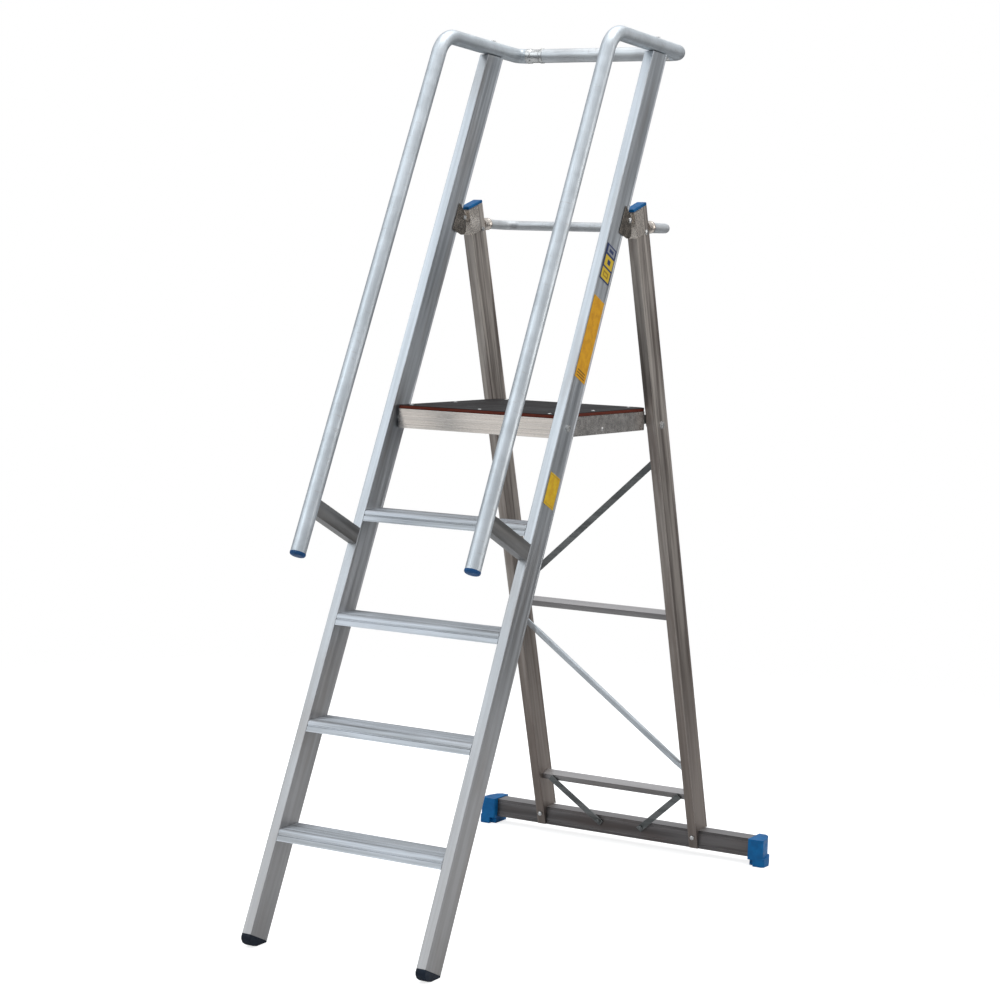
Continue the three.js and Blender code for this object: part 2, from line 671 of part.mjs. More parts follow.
// Screw driven backwards into the beam: domed head in front of the given face.
function beamScrew(x, z, face) {
  const length = BEAM_FRONT + 8 - face;
  const points = [[0, 0], [5, 0.8], [7.2, 3], [7.2, 4.6], [SMALL_SHANK, 4.6], [SMALL_SHANK, 4.6 + length],
    [0, 4.6 + length]].map(([r, y]) => new THREE.Vector2(r, y));
  const geometry = new THREE.LatheGeometry(points, 12);
  geometry.translate(x, face - 4.6, z);
  return toSolid(geometry);
}

const LEG_BOLT_Z = 53;
const legFrontAt = (z) => LEG_GROUND_Y - z * Math.tan(LEG_LEAN);
const legBoltHole = (sign) => foreAftHole(sign * STILE_CENTRE, LEG_BOLT_Z);

function baseBeam() {
  const wall = 2.5;
  const top = BEAM_BOTTOM + BEAM_HEIGHT;
  const outer = block([BEAM_SHIFT - BEAM_HALF, BEAM_FRONT, BEAM_BOTTOM],
    [BEAM_SHIFT + BEAM_HALF, BEAM_FRONT + BEAM_DEPTH, top]);
  const inner = block([-500, BEAM_FRONT + wall, BEAM_BOTTOM + wall],
    [500, BEAM_FRONT + BEAM_DEPTH - wall, top - wall]);
  const groove = (z) => block([-500, BEAM_FRONT - 1, z], [500, BEAM_FRONT + 0.9, z + 2.2]);
  let beam = outer.subtract(inner).subtract(groove(BEAM_BOTTOM + 9)).subtract(groove(top - 10));
  for (const { sign } of SIDES) {
    beam = beam.subtract(legBoltHole(sign)).subtract(foreAftHole(BEAM_SHIFT + sign * GUSSET_FOOT.x, GUSSET_FOOT.z));
  }
  return beam;
}

// Plastic end foot: a block around the beam's end, narrowing to the rear, on a lower pad.
function beamFoot(sign) {
  const front = BEAM_FRONT - 19;
  const rear = BEAM_FRONT + BEAM_DEPTH + 12;
  const outlineOf = (points) => {
    const placed = points.map(([x, y]) => [BEAM_SHIFT + sign * x, y]);
    return shapeFrom(sign > 0 ? placed : placed.reverse());
  };
  const body = plateUp(outlineOf([
    [FOOT_INNER, front + 3], [FOOT_INNER + 3, front], [FOOT_OUTER - 4, front], [FOOT_OUTER, front + 4],
    [FOOT_OUTER - 3, front + 40], [FOOT_OUTER - 14, rear - 10], [FOOT_OUTER - 26, rear],
    [FOOT_INNER, rear],
  ]), 18, BEAM_BOTTOM + BEAM_HEIGHT + 3);
  const pad = plateUp(outlineOf([
    [FOOT_INNER + 2, front + 14], [FOOT_INNER + 17, front + 14], [FOOT_INNER + 17, front],
    [FOOT_OUTER - 2, front], [FOOT_OUTER + 4, front + 6], [FOOT_OUTER + 6, front + 34],
    [FOOT_OUTER - 8, rear - 10], [FOOT_OUTER - 24, rear - 4], [FOOT_INNER + 2, rear - 4],
  ]), 0, 24);
  const ends = [FOOT_INNER - 5, BEAM_HALF + GAP].map((x) => BEAM_SHIFT + sign * x).sort((a, b) => a - b);
  const socket = block([ends[0], BEAM_FRONT - GAP, BEAM_BOTTOM - GAP],
    [ends[1], BEAM_FRONT + BEAM_DEPTH + GAP, BEAM_BOTTOM + BEAM_HEIGHT + GAP]);
  return body.add(pad).subtract(socket);
}

// ---- Knee rail ----
function kneeRail() {
  const x = STILE_CENTRE;
  const start = KNEE_START + GAP;
  return tubeAlong(new Route([
    new THREE.Vector3(-x, start, KNEE_HEIGHT), new THREE.Vector3(-x, KNEE_REAR, KNEE_HEIGHT),
    new THREE.Vector3(x, KNEE_REAR, KNEE_HEIGHT), new THREE.Vector3(x, start, KNEE_HEIGHT),
  ], [KNEE_CORNER, KNEE_CORNER]), KNEE_RADIUS, 1.8, 16, 10);
}

const legRearAt = (z) => legFrontAt(z) + PROFILE_DEPTH / Math.cos(LEG_LEAN);
const KNEE_START = legRearAt(KNEE_HEIGHT) + 8;

// Socket on the leg's rear face that holds the end of the knee rail.
function kneeSocket(sign) {
  const radius = 15;
  const geometry = new THREE.LatheGeometry([
    [0, -12], [radius, -12], [radius, KNEE_SOCKET - 10], [radius + 1.6, KNEE_SOCKET - 8],
    [radius + 1.6, KNEE_SOCKET - 2], [radius, KNEE_SOCKET], [KNEE_RADIUS + GAP, KNEE_SOCKET],
    [KNEE_RADIUS + GAP, 0], [0, 0],
  ].map(([r, y]) => new THREE.Vector2(r, y)), 16);
  geometry.translate(sign * STILE_CENTRE, KNEE_START, KNEE_HEIGHT);
  const legBody = plateAcross([
    [legFrontAt(0), 0], [legRearAt(0) + GAP, 0], [legRearAt(2000) + GAP, 2000], [legFrontAt(2000), 2000],
  ], -400, 400);
  return toSolid(geometry).subtract(legBody);
}

// ---- Bolts through the profiles ----
function boltThrough(sign, point, shank) {
  const half = PROFILE_THICK / 2 - RECESS;
  const headHeight = shank * 1.1;
  const start = sign * STILE_CENTRE - half - GAP - headHeight;
  return boltAcross(start, 2 * (half + GAP), shank, point.y, point.z);
}

// Pin turned from [distance from the middle, radius] pairs, on either side of the ladder.
function pinOutwards(sign, profile, point) {
  const placed = profile.map(([x, r]) => [sign * x, r]);
  return turned(sign > 0 ? placed : placed.reverse(), point.y, point.z);
}

// Pin on which the platform turns: a nut inside its frame and a head outside the stile.
function platformPivot(sign) {
  const inside = FRAME_HALF - FRAME_SHEET - GAP;
  const outside = STILE_CENTRE + PROFILE_THICK / 2 - RECESS + GAP;
  return pinOutwards(sign, [[inside - 6, 6.4], [inside, 6.4], [inside, PIVOT_SHANK], [outside, PIVOT_SHANK],
    [outside, 9.5], [outside + 4, 9.5], [outside + 5.4, 7]], PLATFORM_PIVOT);
}

// Bolt through the leg whose inner end is the peg that the platform hook rests on.
const PEG_END = 214;
const PEG_RADIUS = 8;
function catchPeg(sign) {
  const outer = STILE_CENTRE + PROFILE_THICK / 2 - RECESS + GAP;
  const inner = INNER_HALF - GAP;
  return pinOutwards(sign, [[PEG_END, PEG_RADIUS - 1], [PEG_END + 1, PEG_RADIUS], [inner, PEG_RADIUS],
    [inner, CATCH_SHANK], [outer, CATCH_SHANK], [outer, 10], [outer + 5, 10], [outer + 6.4, 8]], CATCH);
}

// ---- Platform ----
const FRAME_FRONT = stileFrontAt(FRAME_TOP) + FRAME_SETBACK;
const FRAME_HALF = INNER_HALF - 2.5;

// Bent band with a flange turned in along its top edge, which carries the deck.
function platformFrame() {
  const ring = (inset, from, to) => {
    const shape = platformOutline(0);
    shape.holes.push(new THREE.Path(platformOutline(inset).getPoints(5).reverse()));
    return plateUp(shape, from, to, 5);
  };
  const band = ring(FRAME_SHEET, FRAME_TOP - FRAME_HEIGHT, FRAME_TOP);
  const flange = ring(24, FRAME_TOP - FRAME_SHEET, FRAME_TOP);
  const lip = ring(12, FRAME_TOP - FRAME_HEIGHT, FRAME_TOP - FRAME_HEIGHT + FRAME_SHEET);
  return band.add(flange).add(lip).subtract(hole(PLATFORM_PIVOT, PIVOT_SHANK));
}

function deck() {
  return plateUp(platformOutline(1.5), FRAME_TOP + GAP, FRAME_TOP + GAP + DECK_THICK);
}

// Hollow cross support under the deck, bolted to the sides of the frame.
function deckSupport() {
  const reach = FRAME_HALF - FRAME_SHEET - GAP;
  const low = [-reach, SUPPORT_Y - 20, FRAME_TOP - FRAME_HEIGHT + FRAME_SHEET + GAP];
  const high = [reach, SUPPORT_Y + 20, FRAME_TOP - FRAME_SHEET - GAP];
  const inner = block([-500, low[1] + WALL, low[2] + WALL], [500, high[1] - WALL, high[2] - WALL]);
  return block(low, high).subtract(inner);
}

// Hook behind the platform frame: it reaches over the leg's peg and down behind it.
const HOOK_THICK = 5;
function platformHook(sign) {
  const x = [PEG_END + 2, PEG_END + 2 + HOOK_THICK].map((edge) => sign * edge).sort((a, b) => a - b);
  const seat = PEG_RADIUS + GAP;
  const shape = new THREE.Shape();
  shape.moveTo(FRAME_REAR - 20, CATCH.z + 2);
  shape.lineTo(CATCH.y - seat - 3, CATCH.z + 2);
  shape.absarc(CATCH.y, CATCH.z, seat, degrees(160), 0, true);
  shape.lineTo(CATCH.y + seat, CATCH.z - 12);
  shape.lineTo(CATCH.y + seat + 8, CATCH.z - 12);
  shape.lineTo(CATCH.y + seat + 10, CATCH.z + 8);
  shape.quadraticCurveTo(CATCH.y + seat + 8, CATCH.z + 24, CATCH.y - 4, CATCH.z + 25);
  shape.lineTo(FRAME_REAR - 20, CATCH.z + 28);
  return plateAcross(shape, x[0], x[1]).subtract(plateUp(platformOutline(-GAP), 0, 3000, 5));
}

// ---- Assembly ----
const ladder = new THREE.Group();
const alongStiles = stileGroup();
const alongLegs = legGroup();
ladder.add(alongStiles, alongLegs);

for (let i = 0; i < TREAD_COUNT; i += 1) {
  ladder.add(named(`tread_${i + 1}`, tread(i), MATERIALS.profile));
}

for (const side of SIDES) {
  const { name, sign } = side;
  ladder.add(
    named(`stile_${name}`, stile(sign), MATERIALS.profile),
    named(`handrail_${name}`, handrail(sign), MATERIALS.tube),
    named(`handrail_end_cap_${name}`, railEndCap(sign), MATERIALS.capPlastic),
    named(`guard_sleeve_${name}`, guardSleeve(sign), MATERIALS.zinc),
    named(`guard_screw_${name}`, guardScrew(sign), MATERIALS.zinc),
    named(`hinge_clip_${name}`, hingeClip(sign), MATERIALS.brace),
    named(`hinge_pin_${name}`, hingePin(sign), MATERIALS.zinc),
    named(`platform_pivot_bolt_${name}`, platformPivot(sign), MATERIALS.zinc),
    named(`rear_leg_${name}`, rearLeg(sign), MATERIALS.legProfile),
    named(`leg_bolt_${name}`, beamScrew(sign * STILE_CENTRE, LEG_BOLT_Z, legFrontAt(LEG_BOLT_Z) - 2.8),
      MATERIALS.zinc),
    named(`knee_rail_socket_${name}`, kneeSocket(sign), MATERIALS.casting),
    named(`knee_rail_bolt_${name}`, boltThrough(sign, KNEE_BOLT, SMALL_SHANK), MATERIALS.zinc),
    named(`catch_peg_${name}`, catchPeg(sign), MATERIALS.zinc),
    named(`platform_hook_${name}`, platformHook(sign), MATERIALS.brace),
    named(`gusset_${name}`, gusset(sign), MATERIALS.brace),
    named(`gusset_screw_${name}`, beamScrew(BEAM_SHIFT + sign * GUSSET_FOOT.x, GUSSET_FOOT.z, BEAM_FRONT - 9.4),
      MATERIALS.zinc),
    named(`beam_foot_${name}`, beamFoot(sign), MATERIALS.bluePlastic),
  );
  alongStiles.add(
    named(`stile_foot_${name}`, stileFoot(sign), MATERIALS.footPlastic),
    named(`handrail_bracket_${name}`, railBracket(sign), MATERIALS.profile),
  );
  alongLegs.add(
    named(`rear_leg_cap_${name}`, legCap(sign), MATERIALS.bluePlastic),
    named(`hinge_sleeve_${name}`, hingeSleeve(sign), MATERIALS.casting),
  );
}

for (const [name, low, high, front, rear, color] of LABELS) {
  alongStiles.add(named(name, label(low, high, front, rear), () => plastic(color, 0.5)));
}

alongLegs.add(
  named("mid_bar", crossBar(MID_BAR_ALONG), MATERIALS.legProfile),
  named("low_bar", crossBar(LOW_BAR_ALONG), MATERIALS.legProfile),
);

ladder.add(
  named("guard_crossbar", guardCrossbar(), MATERIALS.tube),
  named("knee_rail", kneeRail(), MATERIALS.tube),
  named("upper_brace", upperBrace(), MATERIALS.brace),
  named("lower_brace", lowerBrace(), MATERIALS.tube),
  named("base_beam", baseBeam(), MATERIALS.legProfile),
  named("platform_frame", platformFrame(), MATERIALS.fascia),
  named("deck", deck(), MATERIALS.board),
  named("deck_support", deckSupport(), MATERIALS.profile),
);

// The origin is the middle of the footprint, on the floor.
ladder.updateMatrixWorld(true);
const extent = new THREE.Box3().setFromObject(ladder, true);
ladder.position.x = -(extent.min.x + extent.max.x) / 2;
ladder.position.y = -(extent.min.y + extent.max.y) / 2;

export default ladder;
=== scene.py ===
"""Looks of the folding platform step ladder: finishes, smooth round pieces, fixings, camera and light.

Everything is in metres in the part's own frame. Lengths repeated from the CAD are in millimetres and
pass through place() or mm. +X is the climber's right, +Y the way the climber faces, +Z is up.
"""

import math

import bpy
from mathutils import Matrix, Vector


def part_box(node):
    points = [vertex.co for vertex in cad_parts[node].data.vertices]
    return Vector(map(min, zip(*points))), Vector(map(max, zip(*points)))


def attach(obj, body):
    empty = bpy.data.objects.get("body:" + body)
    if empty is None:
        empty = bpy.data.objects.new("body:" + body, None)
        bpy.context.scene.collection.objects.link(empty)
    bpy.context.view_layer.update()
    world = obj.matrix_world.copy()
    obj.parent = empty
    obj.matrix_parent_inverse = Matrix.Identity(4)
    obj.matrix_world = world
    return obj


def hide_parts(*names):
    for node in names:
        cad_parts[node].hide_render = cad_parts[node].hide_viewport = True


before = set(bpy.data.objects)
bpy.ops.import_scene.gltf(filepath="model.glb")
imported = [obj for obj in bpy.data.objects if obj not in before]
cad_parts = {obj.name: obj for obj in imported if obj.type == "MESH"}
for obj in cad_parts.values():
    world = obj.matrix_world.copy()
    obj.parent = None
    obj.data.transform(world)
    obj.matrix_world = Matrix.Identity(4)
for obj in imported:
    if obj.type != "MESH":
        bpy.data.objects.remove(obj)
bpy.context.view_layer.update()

# ---- Dimensions shared with the CAD, in millimetres and degrees ----
GAP = 0.3
STILE_LEAN = math.radians(24.8)
STILE_CENTRE = 244.5
PROFILE_THICK = 26
PROFILE_DEPTH = 75
RECESS = 1
STILE_FOOT_HEIGHT = 35
INNER_HALF = STILE_CENTRE - PROFILE_THICK / 2
OUTER_FACE = STILE_CENTRE + PROFILE_THICK / 2 - RECESS

LEG_LEAN = math.radians(17.4)
LEG_GROUND_Y = 1483.5

RAIL_RADIUS = 19.5
CROSSBAR_RADIUS = 18.7
RAIL_OFFSET = 221
RAIL_LEAN = STILE_LEAN + math.radians(0.4)
RAIL_END_ALONG = 893
GUARD_HEIGHT = 2234
GUARD_DROP = math.radians(2.6)
GUARD_REAR = 1191
RAIL_BEND = 80
GUARD_CORNER = 24
SLEEVE_OUTER = 216
SLEEVE_INNER = 166
GUARD_SCREW_Y = 1046
TUBE_WALL = 2

KNEE_RADIUS = 12.7
KNEE_WALL = 1.8
KNEE_HEIGHT = 1755
KNEE_REAR = 1166
KNEE_CORNER = 40
KNEE_BOLT_DEPTH = 58
KNEE_BOLT_ALONG = 1806
SOCKET_RADIUS = 15
SOCKET_LENGTH = 28
SOCKET_STAND_OFF = 8            # from the leg's rear face to the socket's base
SOCKET_FLANGE = 1.2             # the flange is this much wider, and slopes back as far

BEAM_FRONT = 1481
BEAM_SHIFT = 10
LEG_BOLT_Z = 53
GUSSET_FOOT_X = 68
GUSSET_FOOT_Z = 56
LEG_BOLT_STAND_OFF = 2.8        # the screw's seat in front of the leg
GUSSET_SCREW_STAND_OFF = 9.4    # the screw's seat in front of the beam

BRACE_RADIUS = 9
BRACE_FLAT_HALF_WIDTH = 9.5
BRACE_FLAT_HALF_THICK = 2.2
BRACE_HIGH_ALONG = 672
BRACE_LOW_ALONG = 232
BRACE_FLAT_LENGTH = 40
BRACE_BLEND_LENGTH = 26
BRACE_BLEND_STEPS = 8

PIVOT_SHANK = 5
FOLD_SHANK = 4
CATCH_SHANK = 6
SMALL_SHANK = 4
HINGE_SHEET = 2.2
PEG_END = 214
PEG_RADIUS = 8
PLATFORM_HALF = INNER_HALF - 2.5
FRAME_SHEET = 3
PLATFORM_PIVOT_ALONG = 1354.5
CATCH_ALONG = 1284
FOLD_DEPTH = PROFILE_DEPTH + 11
FOLD_ALONG = 1948
SUPPORT_Y = 846
SUPPORT_RIVET_Z = 1236
DECK_SIDE_RIVETS = ((200, 612), (204, 838), (186, 1078))
DECK_MIDDLE_RIVETS = ((0, 612), (0, 1094))
TREAD_COUNT = 4

SIDES = (("left", -1), ("right", 1))
ROUND = 48                      # sides of a round piece
BEND_STEPS = 20
SHARP = math.radians(38)        # edges turning more than this are shaded sharp
MM = 0.001

STILE_AXIS = Vector((0, math.sin(STILE_LEAN), math.cos(STILE_LEAN)))
STILE_DEPTH_AXIS = Vector((0, math.cos(STILE_LEAN), -math.sin(STILE_LEAN)))
LEG_AXIS = Vector((0, -math.sin(LEG_LEAN), math.cos(LEG_LEAN)))
LEG_DEPTH_AXIS = Vector((0, math.cos(LEG_LEAN), math.sin(LEG_LEAN)))
RAIL_AXIS = Vector((0, math.sin(RAIL_LEAN), math.cos(RAIL_LEAN)))
ACROSS = Vector((1, 0, 0))
REARWARD = Vector((0, 1, 0))
UP = Vector((0, 0, 1))

# The design's own zero is between the stiles, at the front of their feet, on the floor.
STILES = [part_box(f"stile_{side}") for side, _ in SIDES]
DESIGN_ZERO = Vector(((STILES[0][0].x + STILES[1][1].x) / 2, STILES[0][0].y, 0))


def place(x, y, z):
    """A point of the design, given in millimetres, in the part's frame."""
    return DESIGN_ZERO + Vector((x, y, z)) * MM


def on_stile(x, depth, along):
    """A point on the stiles' lean: depth behind the front face, along from the top of the foot."""
    return place(x, 0, STILE_FOOT_HEIGHT) + (STILE_DEPTH_AXIS * depth + STILE_AXIS * along) * MM


def on_leg(x, depth, along):
    """A point on the rear legs' lean: depth behind the front face, along from the floor."""
    return place(x, LEG_GROUND_Y, 0) + (LEG_DEPTH_AXIS * depth + LEG_AXIS * along) * MM


def on_rail(x, along):
    """A point on the axis of a hand rail's straight run."""
    return on_stile(x, -RAIL_OFFSET, 0) + RAIL_AXIS * along * MM


def leg_front_at(z):
    return LEG_GROUND_Y - z * math.tan(LEG_LEAN)


def leg_rear_at(z):
    return leg_front_at(z) + PROFILE_DEPTH / math.cos(LEG_LEAN)


RAIL_CORNER = on_rail(0, (GUARD_HEIGHT * MM - on_rail(0, 0).z) / MM / math.cos(RAIL_LEAN))


def guard_height_at(y):
    """Height of the guard's axis, in millimetres, at a design y."""
    run = y - (RAIL_CORNER.y - DESIGN_ZERO.y) / MM
    return GUARD_HEIGHT - run * math.tan(GUARD_DROP)


# ---- Mesh building ----
def piece(name, vertices, faces, body, slot, material, stands_for=()):
    """A new mesh that rides on a body, takes the given material as its finish and may stand for CAD
    nodes; the slot is not used.
    """
    mesh = bpy.data.meshes.new(name)
    mesh.from_pydata([tuple(v) for v in vertices], [], faces)
    mesh.validate()
    mesh.polygons.foreach_set("use_smooth", [True] * len(mesh.polygons))
    mesh.set_sharp_from_angle(angle=SHARP)
    mesh.update()
    mesh.materials.append(material)
    made = bpy.data.objects.new(name, mesh)
    bpy.context.scene.collection.objects.link(made)
    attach(made, body)
    if stands_for:
        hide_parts(*stands_for)
    return made


def skin(rings, loop=False):
    """Vertices and faces of a closed skin over rings of equal size, capped or joined end to end."""
    count = len(rings[0])
    vertices = [point for ring in rings for point in ring]
    spans = len(rings) if loop else len(rings) - 1
    faces = []
    for a in range(spans):
        b = (a + 1) % len(rings)
        for i in range(count):
            j = (i + 1) % count
            faces.append((a * count + i, a * count + j, b * count + j, b * count + i))
    if not loop:
        last = (len(rings) - 1) * count
        faces.append(tuple(reversed(range(count))))
        faces.append(tuple(range(last, last + count)))
    return vertices, faces


def join_skins(skins):
    """Several closed skins as the vertices and faces of one piece."""
    vertices, faces = [], []
    for more_vertices, more_faces in skins:
        start = len(vertices)
        vertices += more_vertices
        faces += [tuple(start + i for i in face) for face in more_faces]
    return vertices, faces


def side_vectors(axis):
    """Two unit vectors square to an axis, right-handed with it."""
    start = REARWARD if abs(axis.y) < 0.9 else ACROSS
    first = (start - axis * start.dot(axis)).normalized()
    return first, axis.cross(first)


def circle(centre, axis, radius, sides=ROUND, first=None):
    """Points round an axis, starting on the first side vector. The radius is in metres."""
    if first is None:
        first = side_vectors(axis)[0]
    second = axis.cross(first)
    turns = [2 * math.pi * i / sides for i in range(sides)]
    return [centre + (first * math.cos(t) + second * math.sin(t)) * radius for t in turns]


def lathe(base, axis, profile, sides=ROUND):
    """Skin turned about an axis from [distance along it, radius] pairs, in millimetres."""
    return skin([circle(base + axis * a * MM, axis, r * MM, sides) for a, r in profile])


def tube(stations, radius, wall):
    """Hollow tube over [point, direction] stations, its outside and bore joined at both ends."""
    side = side_vectors(stations[0][1])[0]
    outer, inner = [], []
    previous = stations[0][1]
    for point, direction in stations:
        side = previous.rotation_difference(direction) @ side
        previous = direction
        outer.append(circle(point, direction, radius * MM, first=side))
        inner.append(circle(point, direction, (radius - wall) * MM, first=side))
    return skin(outer + inner[::-1], loop=True)


def route(corners, radii):
    """Stations of straight runs with round bends."""
    ways = [(b - a).normalized() for a, b in zip(corners, corners[1:])]
    stations = [(corners[0], ways[0])]
    for corner, before, after, radius in zip(corners[1:], ways, ways[1:], radii):
        angle = before.angle(after)
        start = corner - before * radius * MM * math.tan(angle / 2)
        axis = before.cross(after).normalized()
        inward = axis.cross(before)
        centre = start + inward * radius * MM
        for step in range(BEND_STEPS + 1):
            turn = Matrix.Rotation(angle * step / BEND_STEPS, 3, axis)
            stations.append((centre - (turn @ inward) * radius * MM, turn @ before))
    stations.append((corners[-1], ways[-1]))
    return stations


# ---- Material building ----
class Finish:
    """A material on one Principled shader, with short calls for the nodes used here."""

    def __init__(self, name, values=None):
        self.material = bpy.data.materials.new(name)
        self.material.use_nodes = True
        self.tree = self.material.node_tree
        self.shader = self.tree.nodes["Principled BSDF"]
        self.position = self.node("ShaderNodeTexCoord").outputs["Object"]
        for socket, value in (values or {}).items():
            self.shader.inputs[socket].default_value = value

    def node(self, kind, **settings):
        made = self.tree.nodes.new(kind)
        for key, value in settings.items():
            setattr(made, key, value)
        return made

    def feed(self, socket, value):
        """Links a node's output to a socket, or sets the socket to a plain value."""
        if isinstance(value, bpy.types.NodeSocket):
            self.tree.links.new(value, socket)
        elif isinstance(value, tuple) and len(value) == 3 and socket.type == "RGBA":
            socket.default_value = (*value, 1)
        else:
            socket.default_value = value

    def math(self, operation, a, b=0.0):
        made = self.node("ShaderNodeMath", operation=operation)
        self.feed(made.inputs[0], a)
        self.feed(made.inputs[1], b)
        return made.outputs[0]

    def dot(self, axis):
        """Distance of the surface point along an axis, in metres."""
        made = self.node("ShaderNodeVectorMath", operation="DOT_PRODUCT")
        self.feed(made.inputs[0], self.position)
        made.inputs[1].default_value = axis
        return made.outputs["Value"]

    def stretched(self, grain, across, along):
        """The position scaled by one number across a grain direction and another along it."""
        whole = self.node("ShaderNodeVectorMath", operation="SCALE")
        self.feed(whole.inputs[0], self.position)
        whole.inputs["Scale"].default_value = across
        extra = self.node("ShaderNodeVectorMath", operation="SCALE")
        extra.inputs[0].default_value = grain
        self.feed(extra.inputs["Scale"], self.math("MULTIPLY", self.dot(grain), along - across))
        total = self.node("ShaderNodeVectorMath", operation="ADD")
        self.feed(total.inputs[0], whole.outputs[0])
        self.feed(total.inputs[1], extra.outputs[0])
        return total.outputs[0]

    def noise(self, scale=1.0, detail=4.0, roughness=0.55, where=None):
        made = self.node("ShaderNodeTexNoise")
        self.feed(made.inputs["Vector"], where or self.position)
        made.inputs["Scale"].default_value = scale
        made.inputs["Detail"].default_value = detail
        made.inputs["Roughness"].default_value = roughness
        return made.outputs["Fac"]

    def span(self, value, low, high, to_low=0.0, to_high=1.0):
        """Maps low..high to the new span with soft ends."""
        made = self.node("ShaderNodeMapRange", interpolation_type="SMOOTHSTEP")
        self.feed(made.inputs["Value"], value)
        made.inputs["From Min"].default_value = low
        made.inputs["From Max"].default_value = high
        made.inputs["To Min"].default_value = to_low
        made.inputs["To Max"].default_value = to_high
        return made.outputs["Result"]

    def mix(self, share, first, second):
        made = self.node("ShaderNodeMix", data_type="RGBA")
        self.feed(made.inputs["Factor"], share)
        self.feed(made.inputs[6], first)
        self.feed(made.inputs[7], second)
        return made.outputs[2]

    def band(self, value, low, high, soft):
        """1 where low < value < high, with soft edges."""
        rise = self.span(value, low - soft, low + soft)
        fall = self.span(value, high - soft, high + soft, 1.0, 0.0)
        return self.math("MULTIPLY", rise, fall)

    def edges(self, radius):
        """1 on convex and concave edges narrower than the radius, 0 on open faces."""
        rounded = self.node("ShaderNodeBevel", samples=6)
        rounded.inputs["Radius"].default_value = radius
        flat = self.node("ShaderNodeNewGeometry").outputs["Normal"]
        turned = self.node("ShaderNodeVectorMath", operation="DOT_PRODUCT")
        self.feed(turned.inputs[0], rounded.outputs[0])
        self.feed(turned.inputs[1], flat)
        return self.span(turned.outputs["Value"], 0.8, 0.995, 1.0, 0.0)

    def facing_up(self):
        """1 where the surface looks up in the part's own frame at rest, 0 where it looks sideways."""
        split = self.node("ShaderNodeSeparateXYZ")
        self.feed(split.inputs[0], self.node("ShaderNodeTexCoord").outputs["Normal"])
        return self.span(split.outputs["Z"], 0.6, 0.95)

    def colour(self, value):
        self.feed(self.shader.inputs["Base Color"], value)

    def rough(self, value):
        self.feed(self.shader.inputs["Roughness"], value)

    def bump(self, height, depth, strength=1.0, under=None):
        made = self.node("ShaderNodeBump")
        made.inputs["Strength"].default_value = strength
        made.inputs["Distance"].default_value = depth
        self.feed(made.inputs["Height"], height)
        if under is not None:
            self.feed(made.inputs["Normal"], under)
        self.feed(self.shader.inputs["Normal"], made.outputs["Normal"])
        return made.outputs["Normal"]


def aluminium(name, grain, light, dark, stain, roughness=(0.3, 0.48), stained=0.35,
              painted_low_shade=0.0, painted_top_light=0.0):
    """Mill-finish extrusion: draw lines and streaks along the grain, with dull handling stains.

    Towards the floor painted_low_shade darkens more of the surface with the stain colour: painted
    shade. Edges get a painted highlight, and painted_top_light is the share of that highlight colour
    painted on faces that look up: painted light from above.
    """
    finish = Finish(name, {"Metallic": 0.88})
    streaks = finish.noise(detail=5, where=finish.stretched(grain, 70, 2.4))
    broad = finish.noise(detail=3, where=finish.stretched(grain, 16, 3.2))
    lines = finish.noise(detail=2, where=finish.stretched(grain, 620, 3))
    specks = finish.noise(scale=240, detail=2)
    base = finish.mix(finish.span(streaks, 0.34, 0.66), dark, light)
    base = finish.mix(finish.span(broad, 0.48, 0.72, 0, stained), base, stain)
    base = finish.mix(finish.span(specks, 0.66, 0.78, 0, 0.35), base, stain)
    # Painted shade: the surface is darkened with the stain colour, more towards the floor.
    if painted_low_shade:
        base = finish.mix(finish.span(finish.dot(UP), 0.1, 1.5, painted_low_shade, 0), base, stain)
    # Painted highlight colour, lighter than the grain, for the edges and for faces that look up.
    painted_highlight = tuple(min(0.9, channel * 1.25 + 0.12) for channel in light)
    # Painted light: faces that look up take a share of the highlight colour.
    if painted_top_light:
        base = finish.mix(finish.math("MULTIPLY", finish.facing_up(), painted_top_light), base, painted_highlight)
    # Painted highlight: the edges of the extrusion are painted brighter.
    base = finish.mix(finish.math("MULTIPLY", finish.edges(1.6 * MM), 0.7), base, painted_highlight)
    finish.colour(base)
    half_streaks = finish.math("MULTIPLY", streaks, 0.5)
    half_lines = finish.math("MULTIPLY", lines, 0.5)
    worn = finish.math("ADD", half_streaks, half_lines)
    finish.rough(finish.span(worn, 0.36, 0.62, *roughness))
    fine = finish.bump(lines, 0.00025, 0.55)
    finish.bump(broad, 0.0012, 0.12, under=fine)
    return finish.material


def drawn_tube(name, grain, light, dark, stain):
    """Polished tube with faint scratches round and along it, and cloudy oxide."""
    finish = Finish(name, {"Metallic": 0.9})
    clouds = finish.noise(scale=14, detail=5)
    scratches = finish.noise(detail=3, where=finish.stretched(grain, 420, 9))
    rub = finish.noise(detail=3, where=finish.stretched(grain, 40, 140))
    base = finish.mix(finish.span(clouds, 0.36, 0.66), dark, light)
    base = finish.mix(finish.span(rub, 0.58, 0.74, 0, 0.28), base, stain)
    finish.colour(base)
    finish.rough(finish.span(scratches, 0.32, 0.68, 0.42, 0.6))
    fine = finish.bump(scratches, 0.0002, 0.4)
    finish.bump(clouds, 0.0009, 0.12, under=fine)
    return finish.material


